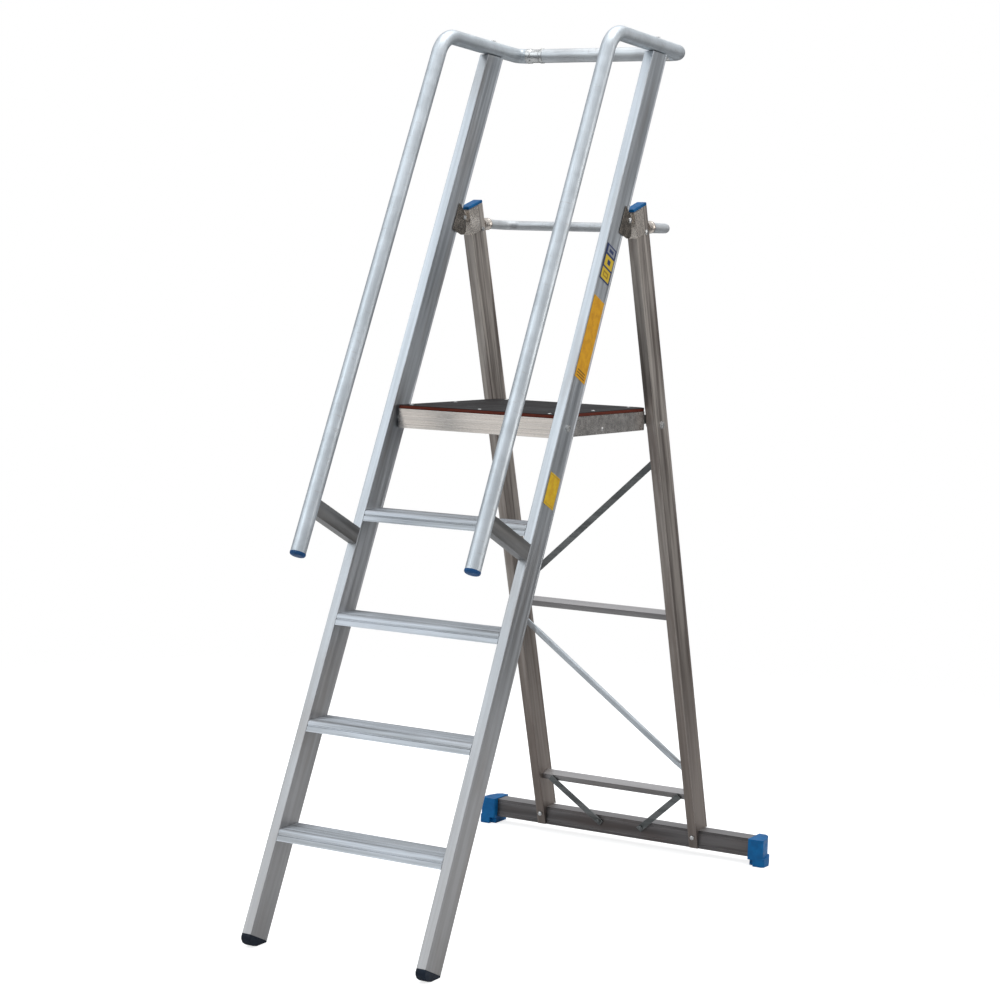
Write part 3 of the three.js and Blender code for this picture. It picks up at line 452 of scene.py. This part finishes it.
def cast_metal(name, light, dark, pit):
    """Cast or galvanised part: mottled, slightly pitted, dull in the hollows."""
    finish = Finish(name, {"Metallic": 0.85})
    mottle = finish.noise(scale=60, detail=3)
    crystal = finish.node("ShaderNodeTexVoronoi", feature="F1")
    finish.feed(crystal.inputs["Vector"], finish.position)
    crystal.inputs["Scale"].default_value = 260
    pits = finish.noise(scale=900, detail=1)
    base = finish.mix(finish.span(mottle, 0.25, 0.75), dark, light)
    base = finish.mix(finish.span(pits, 0.64, 0.8, 0, 0.16), base, pit)
    # Painted highlight: the edges of the part are painted lighter.
    base = finish.mix(finish.math("MULTIPLY", finish.edges(1.2 * MM), 0.6), base, light)
    finish.colour(base)
    finish.rough(finish.span(crystal.outputs["Distance"], 0.1, 0.8, 0.18, 0.34))
    fine = finish.bump(pits, 0.00012, 0.35)
    finish.bump(mottle, 0.0004, 0.08, under=fine)
    return finish.material


def moulded_plastic(name, light, dark, dust):
    """Injection-moulded plastic: fine spark-eroded texture, scuffs and dust in the low spots."""
    finish = Finish(name, {"Specular IOR Level": 0.25})
    shade = finish.noise(scale=26, detail=4)
    grain = finish.noise(scale=1500, detail=2)
    scuffs = finish.noise(scale=70, detail=6, roughness=0.75)
    base = finish.mix(finish.span(shade, 0.35, 0.65), dark, light)
    base = finish.mix(finish.span(scuffs, 0.56, 0.74, 0, 0.4), base, dust)
    finish.colour(base)
    finish.rough(finish.span(scuffs, 0.35, 0.7, 0.34, 0.6))
    fine = finish.bump(grain, 0.00015, 0.6)
    finish.bump(scuffs, 0.0004, 0.18, under=fine)
    return finish.material


def phenolic_board():
    """Film-faced plywood: dark pressed grip pattern above, red-brown plies round the edge."""
    finish = Finish("phenolic_board", {"Specular IOR Level": 0.22})
    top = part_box("deck")[1].z
    height = finish.dot(UP)
    film = finish.span(height, top - 1.6 * MM, top - 1.1 * MM)
    ply = finish.math("SINE", finish.math("MULTIPLY", height, 2 * math.pi / (3.1 * MM)))
    fibres = finish.noise(detail=4, where=finish.stretched(UP, 60, 900))
    plies = finish.mix(finish.span(ply, -0.4, 0.5), (0.09, 0.012, 0.006), (0.2, 0.038, 0.016))
    plies = finish.mix(finish.span(fibres, 0.45, 0.7, 0, 0.5), plies, (0.05, 0.01, 0.008))
    studs = finish.node("ShaderNodeTexVoronoi", feature="F1")
    finish.feed(studs.inputs["Vector"], finish.position)
    studs.inputs["Scale"].default_value = 170
    studs.inputs["Randomness"].default_value = 0.12
    stud = finish.span(studs.outputs["Distance"], 0.2, 0.42, 1.0, 0.0)
    scuffs = finish.noise(scale=9, detail=7, roughness=0.7)
    scratches = finish.noise(detail=3, where=finish.stretched(Vector((0.8, 0.6, 0)), 160, 7))
    face = finish.mix(finish.span(scuffs, 0.4, 0.7), (0.012, 0.011, 0.012), (0.026, 0.023, 0.023))
    face = finish.mix(finish.math("MULTIPLY", stud, 0.3), face, (0.045, 0.04, 0.04))
    face = finish.mix(finish.span(scratches, 0.66, 0.78, 0, 0.45), face, (0.08, 0.07, 0.065))
    finish.colour(finish.mix(film, plies, face))
    finish.rough(finish.span(scuffs, 0.35, 0.7, 0.5, 0.78))
    grip = finish.bump(finish.math("MULTIPLY", stud, film), 0.0006, 0.6)
    finish.bump(scratches, 0.0002, 0.3, under=grip)
    return finish.material


def sticker(name, colour, shade, rim, marks):
    """Printed film: a plain colour, worn print and plain marks given as millimetre boxes.

    Each mark is (lowest along, highest along, lowest depth, highest depth, colour) on the stile.
    """
    finish = Finish(name, {"Specular IOR Level": 0.5})
    foot = on_stile(0, 0, 0)
    along = finish.math("SUBTRACT", finish.dot(STILE_AXIS), foot.dot(STILE_AXIS))
    depth = finish.math("SUBTRACT", finish.dot(STILE_DEPTH_AXIS), foot.dot(STILE_DEPTH_AXIS))
    fade = finish.noise(scale=60, detail=5)
    wear = finish.noise(scale=210, detail=5, roughness=0.75)
    base = finish.mix(finish.span(fade, 0.35, 0.68), colour, shade)
    for low_along, high_along, low_depth, high_depth, ink in marks:
        length = finish.band(along, low_along * MM, high_along * MM, 0.5 * MM)
        width = finish.band(depth, low_depth * MM, high_depth * MM, 0.5 * MM)
        base = finish.mix(finish.math("MULTIPLY", length, width), base, ink)
    base = finish.mix(finish.span(wear, 0.62, 0.74, 0, 0.55), base, rim)
    finish.colour(base)
    finish.rough(finish.span(wear, 0.35, 0.7, 0.3, 0.5))
    finish.bump(wear, 0.0001, 0.4)
    return finish.material


YELLOW = (0.8, 0.56, 0.03)
OCHRE = (0.42, 0.24, 0.02)
UMBER = (0.2, 0.09, 0.01)
NAVY = (0.03, 0.05, 0.15)
GREY = (0.34, 0.36, 0.4)
ALUMINIUM_LIGHT = (0.63, 0.67, 0.71)
ALUMINIUM_DARK = (0.47, 0.5, 0.53)

# Plain marks on the stickers: (lowest along, highest along, lowest depth, highest depth, colour).
BORDER_LINES = [(low, low + 1.4, 12, 59, OCHRE) for low in (1152, 1225)]
THREE_BARS = [(low, low + 3, 14, 58, UMBER) for low in (1490, 1497, 1504)]
THREE_PANELS = [
    (1757, 1786, 13, 59, YELLOW), (1764, 1779, 22, 50, OCHRE), (1768, 1775, 27, 45, YELLOW),
    (1791, 1820, 15, 61, YELLOW), (1799, 1812, 30, 46, NAVY),
    (1826, 1845, 18, 58, GREY), (1831, 1840, 26, 50, NAVY),
]

FINISHES = {
    # The stile and leg extrusions are painted darker towards the floor: painted shade.
    "profile": aluminium("stile_extrusion", STILE_AXIS, ALUMINIUM_LIGHT, ALUMINIUM_DARK,
                         (0.3, 0.26, 0.23), painted_low_shade=0.5),
    "tread": aluminium("tread_extrusion", ACROSS, (0.56, 0.59, 0.63), (0.3, 0.315, 0.33),
                       (0.38, 0.37, 0.36)),
    "leg_profile": aluminium("leg_extrusion", LEG_AXIS, (0.62, 0.575, 0.53), (0.27, 0.235, 0.215),
                             (0.2, 0.165, 0.145), (0.34, 0.52), 0.55, 0.75),
    # The bar and the beam are painted lighter on faces that look up: painted light.
    "bar": aluminium("bar_extrusion", ACROSS, (0.36, 0.35, 0.35), (0.23, 0.22, 0.22),
                     (0.2, 0.16, 0.14), (0.34, 0.52), 0.45, painted_top_light=0.8),
    "beam": aluminium("beam_extrusion", ACROSS, (0.2, 0.19, 0.19), (0.11, 0.105, 0.105),
                      (0.12, 0.09, 0.08), (0.38, 0.56), 0.45, painted_top_light=0.9),
    "bracket": aluminium("bracket_extrusion", STILE_DEPTH_AXIS, (0.36, 0.36, 0.36),
                         (0.25, 0.25, 0.25), (0.22, 0.2, 0.18)),
    "hinge_sheet": cast_metal("hinge_sheet", (0.32, 0.28, 0.24), (0.13, 0.115, 0.1),
                              (0.05, 0.045, 0.04)),
    "tube": drawn_tube("rail_tube", RAIL_AXIS, (0.7, 0.75, 0.79), (0.6, 0.645, 0.68),
                       (0.46, 0.44, 0.42)),
    "crossbar": drawn_tube("crossbar_tube", ACROSS, (0.72, 0.75, 0.77), (0.6, 0.62, 0.64),
                           (0.44, 0.42, 0.4)),
    "fascia": aluminium("fascia_sheet", ACROSS, (0.74, 0.71, 0.68), (0.6, 0.575, 0.55),
                        (0.5, 0.45, 0.41), (0.2, 0.34), 0.15),
    "brace": aluminium("brace_bar", ACROSS, (0.24, 0.25, 0.25), (0.14, 0.15, 0.15),
                       (0.11, 0.1, 0.09), (0.36, 0.56)),
    "casting": cast_metal("hinge_casting", (0.88, 0.8, 0.72), (0.68, 0.62, 0.56),
                          (0.4, 0.35, 0.31)),
    "zinc": cast_metal("zinc_plate", (0.74, 0.74, 0.73), (0.6, 0.61, 0.61), (0.36, 0.35, 0.33)),
    "blue_plastic": moulded_plastic("blue_plastic", (0.001, 0.15, 0.41), (0.001, 0.11, 0.31),
                                    (0.012, 0.21, 0.44)),
    "cap_plastic": moulded_plastic("cap_plastic", (0.02, 0.11, 0.3), (0.014, 0.08, 0.22),
                                   (0.1, 0.17, 0.27)),
    "foot_plastic": moulded_plastic("foot_plastic", (0.003, 0.012, 0.028), (0.002, 0.007, 0.018),
                                    (0.02, 0.026, 0.034)),
    "board": phenolic_board(),
    "label_yellow": sticker("label_yellow", (0.86, 0.56, 0.02), (0.74, 0.42, 0.015),
                            (0.42, 0.3, 0.08), BORDER_LINES),
    "label_orange": sticker("label_orange", (0.9, 0.45, 0.01), (0.74, 0.34, 0.008),
                            (0.42, 0.25, 0.05), THREE_BARS),
    "label_blue": sticker("label_pictograms", (0.022, 0.04, 0.13), (0.03, 0.05, 0.16),
                          (0.2, 0.2, 0.22), THREE_PANELS),
}


# ---- CAD nodes that stay: bevelled edges and a finish ----
def keep(node, finish, bevel):
    """Dresses a CAD node, merging its facets into flat faces and rounding its edges."""
    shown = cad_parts[node]
    shown.data.polygons.foreach_set("use_smooth", [True] * len(shown.data.polygons))
    for held in shown.material_slots:
        held.link = "OBJECT"
        held.material = FINISHES[finish]
    weld = shown.modifiers.new("weld", "WELD")
    weld.merge_threshold = 0.02 * MM
    flatten = shown.modifiers.new("flatten", "DECIMATE")
    flatten.decimate_type = "DISSOLVE"
    flatten.angle_limit = math.radians(0.6)
    rounded = shown.modifiers.new("edges", "BEVEL")
    rounded.width = bevel * MM
    rounded.segments = 2
    rounded.limit_method = "ANGLE"
    rounded.angle_limit = math.radians(28)
    shade = shown.modifiers.new("shade", "WEIGHTED_NORMAL")
    shade.keep_sharp = True
    shade.weight = 90


# Node, finish and bevel in millimetres. The first list has one node on each side.
KEPT_ON_BOTH_SIDES = [
    ("stile", "profile", 0.6), ("stile_foot", "foot_plastic", 1.6),
    ("handrail_bracket", "bracket", 0.7), ("rear_leg", "leg_profile", 0.6),
    ("rear_leg_cap", "blue_plastic", 1.2), ("hinge_clip", "hinge_sheet", 0.5),
    ("hinge_sleeve", "casting", 0.6), ("gusset", "brace", 0.6), ("platform_hook", "brace", 0.7),
    ("beam_foot", "blue_plastic", 1.6),
]
KEPT_ONCE = [
    ("mid_bar", "bar", 0.8), ("low_bar", "bar", 0.8), ("base_beam", "beam", 0.6),
    ("upper_brace", "brace", 0.7), ("platform_frame", "fascia", 0.6), ("deck", "board", 1.0),
    ("deck_support", "tread", 0.6), ("label_yellow", "label_yellow", 0.15),
    ("label_orange", "label_orange", 0.15), ("label_pictograms", "label_blue", 0.15),
]
for node, finish, bevel in KEPT_ON_BOTH_SIDES:
    for side, _ in SIDES:
        keep(f"{node}_{side}", finish, bevel)
for index in range(1, TREAD_COUNT + 1):
    keep(f"tread_{index}", "tread", 0.22)
for node, finish, bevel in KEPT_ONCE:
    keep(node, finish, bevel)


# ---- Tubes ----
def handrail(side, sign):
    x = sign * STILE_CENTRE
    rear = place(x, GUARD_REAR, guard_height_at(GUARD_REAR))
    end = place(sign * (SLEEVE_OUTER + GAP), GUARD_REAR, guard_height_at(GUARD_REAR))
    corner = RAIL_CORNER + ACROSS * x * MM
    stations = route([on_rail(x, RAIL_END_ALONG), corner, rear, end], [RAIL_BEND, GUARD_CORNER])
    piece(f"smooth_handrail_{side}", *tube(stations, RAIL_RADIUS, TUBE_WALL), "front_frame", "tube",
          FINISHES["tube"], [f"handrail_{side}"])


def guard_crossbar():
    reach = SLEEVE_INNER - GAP
    ends = [place(x, GUARD_REAR, guard_height_at(GUARD_REAR)) for x in (-reach, reach)]
    piece("smooth_guard_crossbar", *tube(route(ends, []), CROSSBAR_RADIUS, TUBE_WALL), "front_frame",
          "tube", FINISHES["crossbar"], ["guard_crossbar"])


def knee_rail():
    start = leg_rear_at(KNEE_HEIGHT) + SOCKET_STAND_OFF + GAP
    x = STILE_CENTRE
    corners = [place(-x, start, KNEE_HEIGHT), place(-x, KNEE_REAR, KNEE_HEIGHT),
               place(x, KNEE_REAR, KNEE_HEIGHT), place(x, start, KNEE_HEIGHT)]
    stations = route(corners, [KNEE_CORNER, KNEE_CORNER])
    piece("smooth_knee_rail", *tube(stations, KNEE_RADIUS, KNEE_WALL), "rear_frame", "tube",
          FINISHES["crossbar"], ["knee_rail"])


def lower_brace():
    """Round tube pressed flat at both ends, where it is riveted inside the legs."""
    high = on_leg(-STILE_CENTRE, PROFILE_DEPTH / 2, BRACE_HIGH_ALONG)
    low = on_leg(STILE_CENTRE, PROFILE_DEPTH / 2, BRACE_LOW_ALONG)
    axis = (low - high).normalized()
    face = Vector((0, -math.cos(LEG_LEAN), -math.sin(LEG_LEAN)))
    normal = (face - axis * face.dot(axis)).normalized()
    wide = axis.cross(normal)
    reach = (INNER_HALF + RECESS - GAP) * MM
    length = (low - high).length
    rings = []
    stops = [0, 24, BRACE_FLAT_LENGTH]
    stops += [BRACE_FLAT_LENGTH + BRACE_BLEND_LENGTH * k / BRACE_BLEND_STEPS
              for k in range(1, BRACE_BLEND_STEPS + 1)]
    places = [(s * MM, s) for s in stops] + [(length - s * MM, s) for s in reversed(stops)]
    for travel, from_end in places:
        share = min(max((from_end - BRACE_FLAT_LENGTH) / BRACE_BLEND_LENGTH, 0), 1)
        round_share = share * share * (3 - 2 * share)
        ring = []
        for i in range(ROUND):
            turn = 2 * math.pi * i / ROUND
            flat = Vector((squared(math.cos(turn)) * BRACE_FLAT_HALF_WIDTH,
                           squared(math.sin(turn)) * BRACE_FLAT_HALF_THICK))
            full = Vector((math.cos(turn) * BRACE_RADIUS, math.sin(turn) * BRACE_RADIUS))
            out = flat.lerp(full, round_share) * MM
            point = high + axis * travel + wide * out.x + normal * out.y
            ring.append(held_between_legs(point, axis, reach))
        rings.append(ring)
    piece("smooth_lower_brace", *skin(rings), "rear_frame", "tube", FINISHES["tube"],
          ["lower_brace"])


def squared(value):
    """Pushes a sine or cosine outwards, so that a circle becomes a rounded rectangle."""
    return math.copysign(abs(value) ** 0.35, value)


def held_between_legs(point, axis, reach):
    """Slides a point along an axis to the inner face of a leg, if it lies beyond it."""
    x = point.x - DESIGN_ZERO.x
    if abs(x) <= reach:
        return point
    return point - axis * ((x - math.copysign(reach, x)) / axis.x)


def drawn_in(point, centre, share):
    """Moves a point towards the rearward axis through a centre, to a share of its distance."""
    along = REARWARD * (point - centre).dot(REARWARD)
    return centre + along + (point - centre - along) * share


def knee_socket(side, sign):
    """Flanged socket on the rear face of a leg, for the end of the knee rail."""
    x = sign * STILE_CENTRE
    start = leg_rear_at(KNEE_HEIGHT) + SOCKET_STAND_OFF
    centre = place(x, start, KNEE_HEIGHT)
    outline = [(SOCKET_LENGTH - 12, SOCKET_RADIUS), (SOCKET_LENGTH - 9.5, SOCKET_RADIUS + 0.9),
               (SOCKET_LENGTH - 8, SOCKET_RADIUS + 1.6), (SOCKET_LENGTH - 2.4, SOCKET_RADIUS + 1.6),
               (SOCKET_LENGTH - 0.6, SOCKET_RADIUS + 1), (SOCKET_LENGTH, SOCKET_RADIUS),
               (SOCKET_LENGTH, KNEE_RADIUS + GAP), (0, KNEE_RADIUS + GAP)]
    flange_radius = SOCKET_RADIUS + SOCKET_FLANGE
    seat = []
    for point in circle(centre, REARWARD, flange_radius * MM):
        seat.append(Vector((point.x, place(0, leg_rear_at(point.z / MM) + GAP, 0).y, point.z)))
    collar = [point + REARWARD * 2.5 * MM for point in seat]
    neck = [drawn_in(point, centre, SOCKET_RADIUS / flange_radius) + REARWARD * SOCKET_FLANGE * MM
            for point in collar]
    rings = [seat, collar, neck]
    rings += [circle(centre + REARWARD * a * MM, REARWARD, r * MM) for a, r in outline]
    piece(f"smooth_knee_rail_socket_{side}", *skin(rings), "rear_frame", "casting",
          FINISHES["casting"], [f"knee_rail_socket_{side}"])


def rail_end_cap(side, sign):
    start = on_rail(sign * STILE_CENTRE, RAIL_END_ALONG - GAP)
    radius = RAIL_RADIUS + 0.6
    profile = [(-9, radius - 7), (-8.6, radius - 4.6), (-7.6, radius - 2.4), (-6, radius - 0.9),
               (-4.4, radius - 0.2), (-3, radius), (-0.4, radius), (0, radius - 0.4),
               (0, RAIL_RADIUS - 3), (15, RAIL_RADIUS - 3)]
    piece(f"smooth_handrail_end_cap_{side}", *lathe(start, RAIL_AXIS, profile), "front_frame",
          "cap_plastic", FINISHES["cap_plastic"], [f"handrail_end_cap_{side}"])


def guard_sleeve(side, sign):
    length = SLEEVE_OUTER - SLEEVE_INNER
    spigot = CROSSBAR_RADIUS - 3.4
    rim = RAIL_RADIUS + 0.4
    waist = RAIL_RADIUS - 1.2
    profile = [(-20, spigot), (0, spigot), (0, rim - 0.6), (0.6, rim), (8.2, rim), (9, rim - 0.3),
               (10.4, waist + 0.2), (11.4, waist), (length - 15.4, waist), (length - 14.4, waist + 0.2),
               (length - 13, rim - 0.3), (length - 12.2, rim), (length - 0.6, rim),
               (length, rim - 0.6), (length, spigot), (length + 6, spigot)]
    base = place(sign * SLEEVE_INNER, GUARD_REAR, guard_height_at(GUARD_REAR))
    piece(f"smooth_guard_sleeve_{side}", *lathe(base, ACROSS * sign, profile), "front_frame", "zinc",
          FINISHES["zinc"], [f"guard_sleeve_{side}"])


# ---- Fixings ----
def dome(start, radius, height, steps=6):
    """Profile of a domed head from its seat outwards, for a lathe."""
    turns = [math.pi / 2 * k / steps for k in range(steps)]
    rim = [(start, radius), (start + height * 0.25, radius)]
    return rim + [(start + height * (0.25 + 0.75 * math.sin(t)), radius * math.cos(t) + 0.01)
                  for t in turns[1:]]


def hexagon(base, axis, start, height, radius):
    """Chamfered hexagon head or nut."""
    profile = [(start, radius * 0.96), (start + 0.3, radius), (start + height - 0.8, radius),
               (start + height, radius * 0.88)]
    return lathe(base, axis, profile, sides=6)


def fixing(name, body, skins, node=None, finish="zinc"):
    vertices, faces = join_skins(skins)
    piece(name, vertices, faces, body, "zinc", FINISHES[finish], [node] if node else ())


def fixings_on(side, sign):
    """The bolts, pins and screws of one side, each a shank with heads, nuts and washers."""
    out = ACROSS * sign
    platform_pivot = on_stile(0, PROFILE_DEPTH / 2, PLATFORM_PIVOT_ALONG)
    inside = PLATFORM_HALF - FRAME_SHEET - GAP
    outside = OUTER_FACE + GAP
    fixing(f"smooth_platform_pivot_bolt_{side}", "front_frame", [
        lathe(platform_pivot, out, [(inside - 6, PIVOT_SHANK), (outside + 1, PIVOT_SHANK)]),
        hexagon(platform_pivot, out, inside - 6, 6, 6.4),
        lathe(platform_pivot, out, [(outside, 9.5), (outside + 0.9, 9.5), (outside + 1.2, 9.2)]),
        hexagon(platform_pivot, out, outside + 1.2, 4, 8),
    ], f"platform_pivot_bolt_{side}")

    catch = on_leg(0, PROFILE_DEPTH / 2, CATCH_ALONG)
    inner = INNER_HALF - GAP
    fixing(f"smooth_catch_peg_{side}", "rear_frame", [
        lathe(catch, out, [(PEG_END, PEG_RADIUS - 1), (PEG_END + 1, PEG_RADIUS), (inner, PEG_RADIUS),
                           (inner, CATCH_SHANK), (outside + 1, CATCH_SHANK)]),
        lathe(catch, out, [(outside, 10), (outside + 1.2, 10), (outside + 1.5, 9.7)]),
        hexagon(catch, out, outside + 1.5, 4.6, 8.4),
    ], f"catch_peg_{side}")

    leg_inside = INNER_HALF + RECESS - GAP
    knee_bolt = on_leg(0, KNEE_BOLT_DEPTH, KNEE_BOLT_ALONG)
    fixing(f"smooth_knee_rail_bolt_{side}", "rear_frame", [
        lathe(knee_bolt, out, [(leg_inside - 4, SMALL_SHANK), (outside + 1, SMALL_SHANK)]),
        hexagon(knee_bolt, out, leg_inside - 4.2, 4.2, 6.4),
        lathe(knee_bolt, out, dome(outside, 7, 4.2)),
    ], f"knee_rail_bolt_{side}")

    fold = on_stile(0, FOLD_DEPTH, FOLD_ALONG)
    cheek = PROFILE_THICK / 2 + 2 * GAP + HINGE_SHEET
    pin_out = STILE_CENTRE + cheek
    pin_in = STILE_CENTRE - cheek
    fixing(f"smooth_hinge_pin_{side}", "front_frame", [
        lathe(fold, out, [(pin_in - 1, FOLD_SHANK), (pin_out + 1, FOLD_SHANK)]),
        lathe(fold, out, dome(pin_out, 7, 4.2)),
        hexagon(fold, out, pin_in - 4.2, 4.2, 6.2),
    ], f"hinge_pin_{side}")

    screw_height = guard_height_at(GUARD_SCREW_Y) + RAIL_RADIUS + 2 * GAP
    screw_seat = place(sign * STILE_CENTRE, GUARD_SCREW_Y, screw_height)
    fixing(f"smooth_guard_screw_{side}", "front_frame", [
        lathe(screw_seat, UP, [(-70, SMALL_SHANK), (1, SMALL_SHANK)]),
        lathe(screw_seat, UP, dome(0, 8, 2.2)),
    ], f"guard_screw_{side}")

    beam_screw(f"leg_bolt_{side}", sign * STILE_CENTRE, LEG_BOLT_Z,
               leg_front_at(LEG_BOLT_Z) - LEG_BOLT_STAND_OFF, "zinc")
    beam_screw(f"gusset_screw_{side}", BEAM_SHIFT + sign * GUSSET_FOOT_X, GUSSET_FOOT_Z,
               BEAM_FRONT - GUSSET_SCREW_STAND_OFF, "brace")


def beam_screw(node, x, z, face, finish):
    """Domed screw driven backwards into the base beam."""
    base = place(x, face, z)
    fixing(f"smooth_{node}", "rear_frame", [
        lathe(base, REARWARD, [(-1, SMALL_SHANK), (BEAM_FRONT + 8 - face, SMALL_SHANK)]),
        lathe(base, -REARWARD, dome(0, 6.4, 3.6)),
    ], node, finish)


def platform_rivets():
    """Rivets through the deck into the frame, and those that hold the cross support."""
    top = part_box("deck")[1].z / MM
    spots = [(sign * x, y) for _, sign in SIDES for x, y in DECK_SIDE_RIVETS]
    spots += DECK_MIDDLE_RIVETS
    for number, (x, y) in enumerate(spots, 1):
        head = lathe(place(x, y, top), UP, dome(-0.4, 5.2, 1.9))
        fixing(f"deck_rivet_{number}", "platform", [head])
    for side, sign in SIDES:
        head = lathe(place(0, SUPPORT_Y, SUPPORT_RIVET_Z), ACROSS * sign,
                     dome(PLATFORM_HALF - 0.4, 5.4, 2.2))
        fixing(f"frame_rivet_{side}", "platform", [head])


for side, sign in SIDES:
    handrail(side, sign)
    rail_end_cap(side, sign)
    guard_sleeve(side, sign)
    knee_socket(side, sign)
    fixings_on(side, sign)
guard_crossbar()
knee_rail()
lower_brace()
platform_rivets()


# ---- Floor, light and camera ----
CAMERA_PLACE = (2938.9, -4486.7, 1620.9)  # design millimetres, for place()
CAMERA_TURNS = (29.389, 5.498, 1.849)     # yaw, pitch and roll in degrees
CAMERA_LENS = 84.4
CAMERA_SENSOR = 36


def floor():
    """Pale round floor that fades out at its rim, and looks whiter to the camera than it is."""
    radius, rings, sides = 4.0, 24, 96
    points, faces = [(0, 0, 0)], []
    for ring in range(1, rings + 1):
        points += [tuple(p) for p in circle(Vector((0, 0, 0)), UP, radius * ring / rings, sides)]
    for i in range(sides):
        faces.append((0, 1 + i, 1 + (i + 1) % sides))
    for ring in range(rings - 1):
        a, b = 1 + ring * sides, 1 + (ring + 1) * sides
        for i in range(sides):
            j = (i + 1) % sides
            faces.append((a + i, b + i, b + j, a + j))
    mesh = bpy.data.meshes.new("floor")
    mesh.from_pydata(points, [], faces)
    finish = Finish("pale_floor")
    shade = finish.noise(scale=3, detail=3)
    finish.colour(finish.mix(finish.span(shade, 0.3, 0.7), (0.6, 0.6, 0.6), (0.62, 0.62, 0.62)))
    finish.rough(finish.span(shade, 0.3, 0.7, 0.7, 0.8))
    distance = finish.node("ShaderNodeVectorMath", operation="LENGTH")
    finish.feed(distance.inputs[0], finish.position)
    fade = finish.span(distance.outputs["Value"], 2.0, 3.9, 1.0, 0.0)
    finish.feed(finish.shader.inputs["Alpha"], fade)
    seen = finish.node("ShaderNodeLightPath").outputs["Is Camera Ray"]
    finish.shader.inputs["Emission Color"].default_value = (1, 1, 1, 1)
    finish.feed(finish.shader.inputs["Emission Strength"], finish.math("MULTIPLY", seen, 0.76))
    mesh.materials.append(finish.material)
    made = bpy.data.objects.new("floor", mesh)
    made.location = (0, 0, -0.0005)
    bpy.context.scene.collection.objects.link(made)


def surroundings():
    """Soft grey room for the reflections, darker below the horizon; the camera sees plain white."""
    world = bpy.data.worlds.new("studio")
    world.use_nodes = True
    bpy.context.scene.world = world
    tree = world.node_tree
    tree.nodes.clear()
    where = tree.nodes.new("ShaderNodeTexCoord")
    split = tree.nodes.new("ShaderNodeSeparateXYZ")
    height = tree.nodes.new("ShaderNodeMapRange")
    height.inputs["From Min"].default_value = -1
    height.inputs["From Max"].default_value = 1
    ramp = tree.nodes.new("ShaderNodeValToRGB")
    stops = [(0.0, 0.13), (0.44, 0.1), (0.53, 0.2), (0.68, 0.5), (1.0, 0.8)]
    ramp.color_ramp.elements.remove(ramp.color_ramp.elements[1])
    for position, grey in stops:
        stop = ramp.color_ramp.elements.new(position) if position else ramp.color_ramp.elements[0]
        stop.color = (grey * 0.98, grey, grey * 1.03, 1)
    room = tree.nodes.new("ShaderNodeBackground")
    seen = tree.nodes.new("ShaderNodeBackground")
    seen.inputs["Color"].default_value = (1, 1, 1, 1)
    path = tree.nodes.new("ShaderNodeLightPath")
    mix = tree.nodes.new("ShaderNodeMixShader")
    output = tree.nodes.new("ShaderNodeOutputWorld")
    for start, end in [
        (where.outputs["Generated"], split.inputs[0]), (split.outputs["Z"], height.inputs["Value"]),
        (height.outputs["Result"], ramp.inputs["Fac"]), (ramp.outputs["Color"], room.inputs["Color"]),
        (path.outputs["Is Camera Ray"], mix.inputs["Fac"]), (room.outputs[0], mix.inputs[1]),
        (seen.outputs[0], mix.inputs[2]), (mix.outputs[0], output.inputs["Surface"]),
    ]:
        tree.links.new(start, end)


def soft_light(name, location, target, width, height, power, colour=(1, 1, 1)):
    data = bpy.data.lights.new(name, "AREA")
    data.shape = "RECTANGLE"
    data.size = width
    data.size_y = height
    data.energy = power
    data.color = colour
    lamp = bpy.data.objects.new(name, data)
    lamp.location = location
    lamp.rotation_mode = "QUATERNION"
    lamp.rotation_quaternion = (Vector(target) - Vector(location)).to_track_quat("-Z", "Y")
    bpy.context.scene.collection.objects.link(lamp)


def camera():
    """The photograph's viewpoint: a long lens, front right, a little above the platform."""
    yaw, pitch, roll = (math.radians(angle) for angle in CAMERA_TURNS)
    forward = Vector((-math.sin(yaw) * math.cos(pitch), math.cos(yaw) * math.cos(pitch),
                      -math.sin(pitch)))
    right = Vector((math.cos(yaw), math.sin(yaw), 0))
    up = right.cross(forward)
    rolled = Matrix((right * math.cos(roll) + up * math.sin(roll),
                     up * math.cos(roll) - right * math.sin(roll), -forward)).transposed()
    data = bpy.data.cameras.new("camera")
    data.sensor_width = CAMERA_SENSOR
    data.lens = CAMERA_LENS
    data.clip_end = 100
    made = bpy.data.objects.new("camera", data)
    made.matrix_world = Matrix.Translation(place(*CAMERA_PLACE)) @ rolled.to_4x4()
    bpy.context.scene.collection.objects.link(made)
    bpy.context.scene.camera = made


floor()
surroundings()
camera()
soft_light("key", (-2.7, -3.7, 4.4), (0, 0, 1.2), 5, 5, 80, (0.88, 0.95, 1))
soft_light("low_card", (-2.8, -4.8, 1.25), (0, -0.2, 1.25), 2.4, 2, 14, (1, 0.96, 0.92))
soft_light("top", (0.6, 0.6, 5.5), (0, 0, 1), 4, 4, 90)
soft_light("right_fill", (4.5, 2.0, 2.2), (0, 0, 1.1), 2.5, 2.5, 45, (1, 0.97, 0.94))
bpy.context.scene.view_settings.view_transform = "Standard"
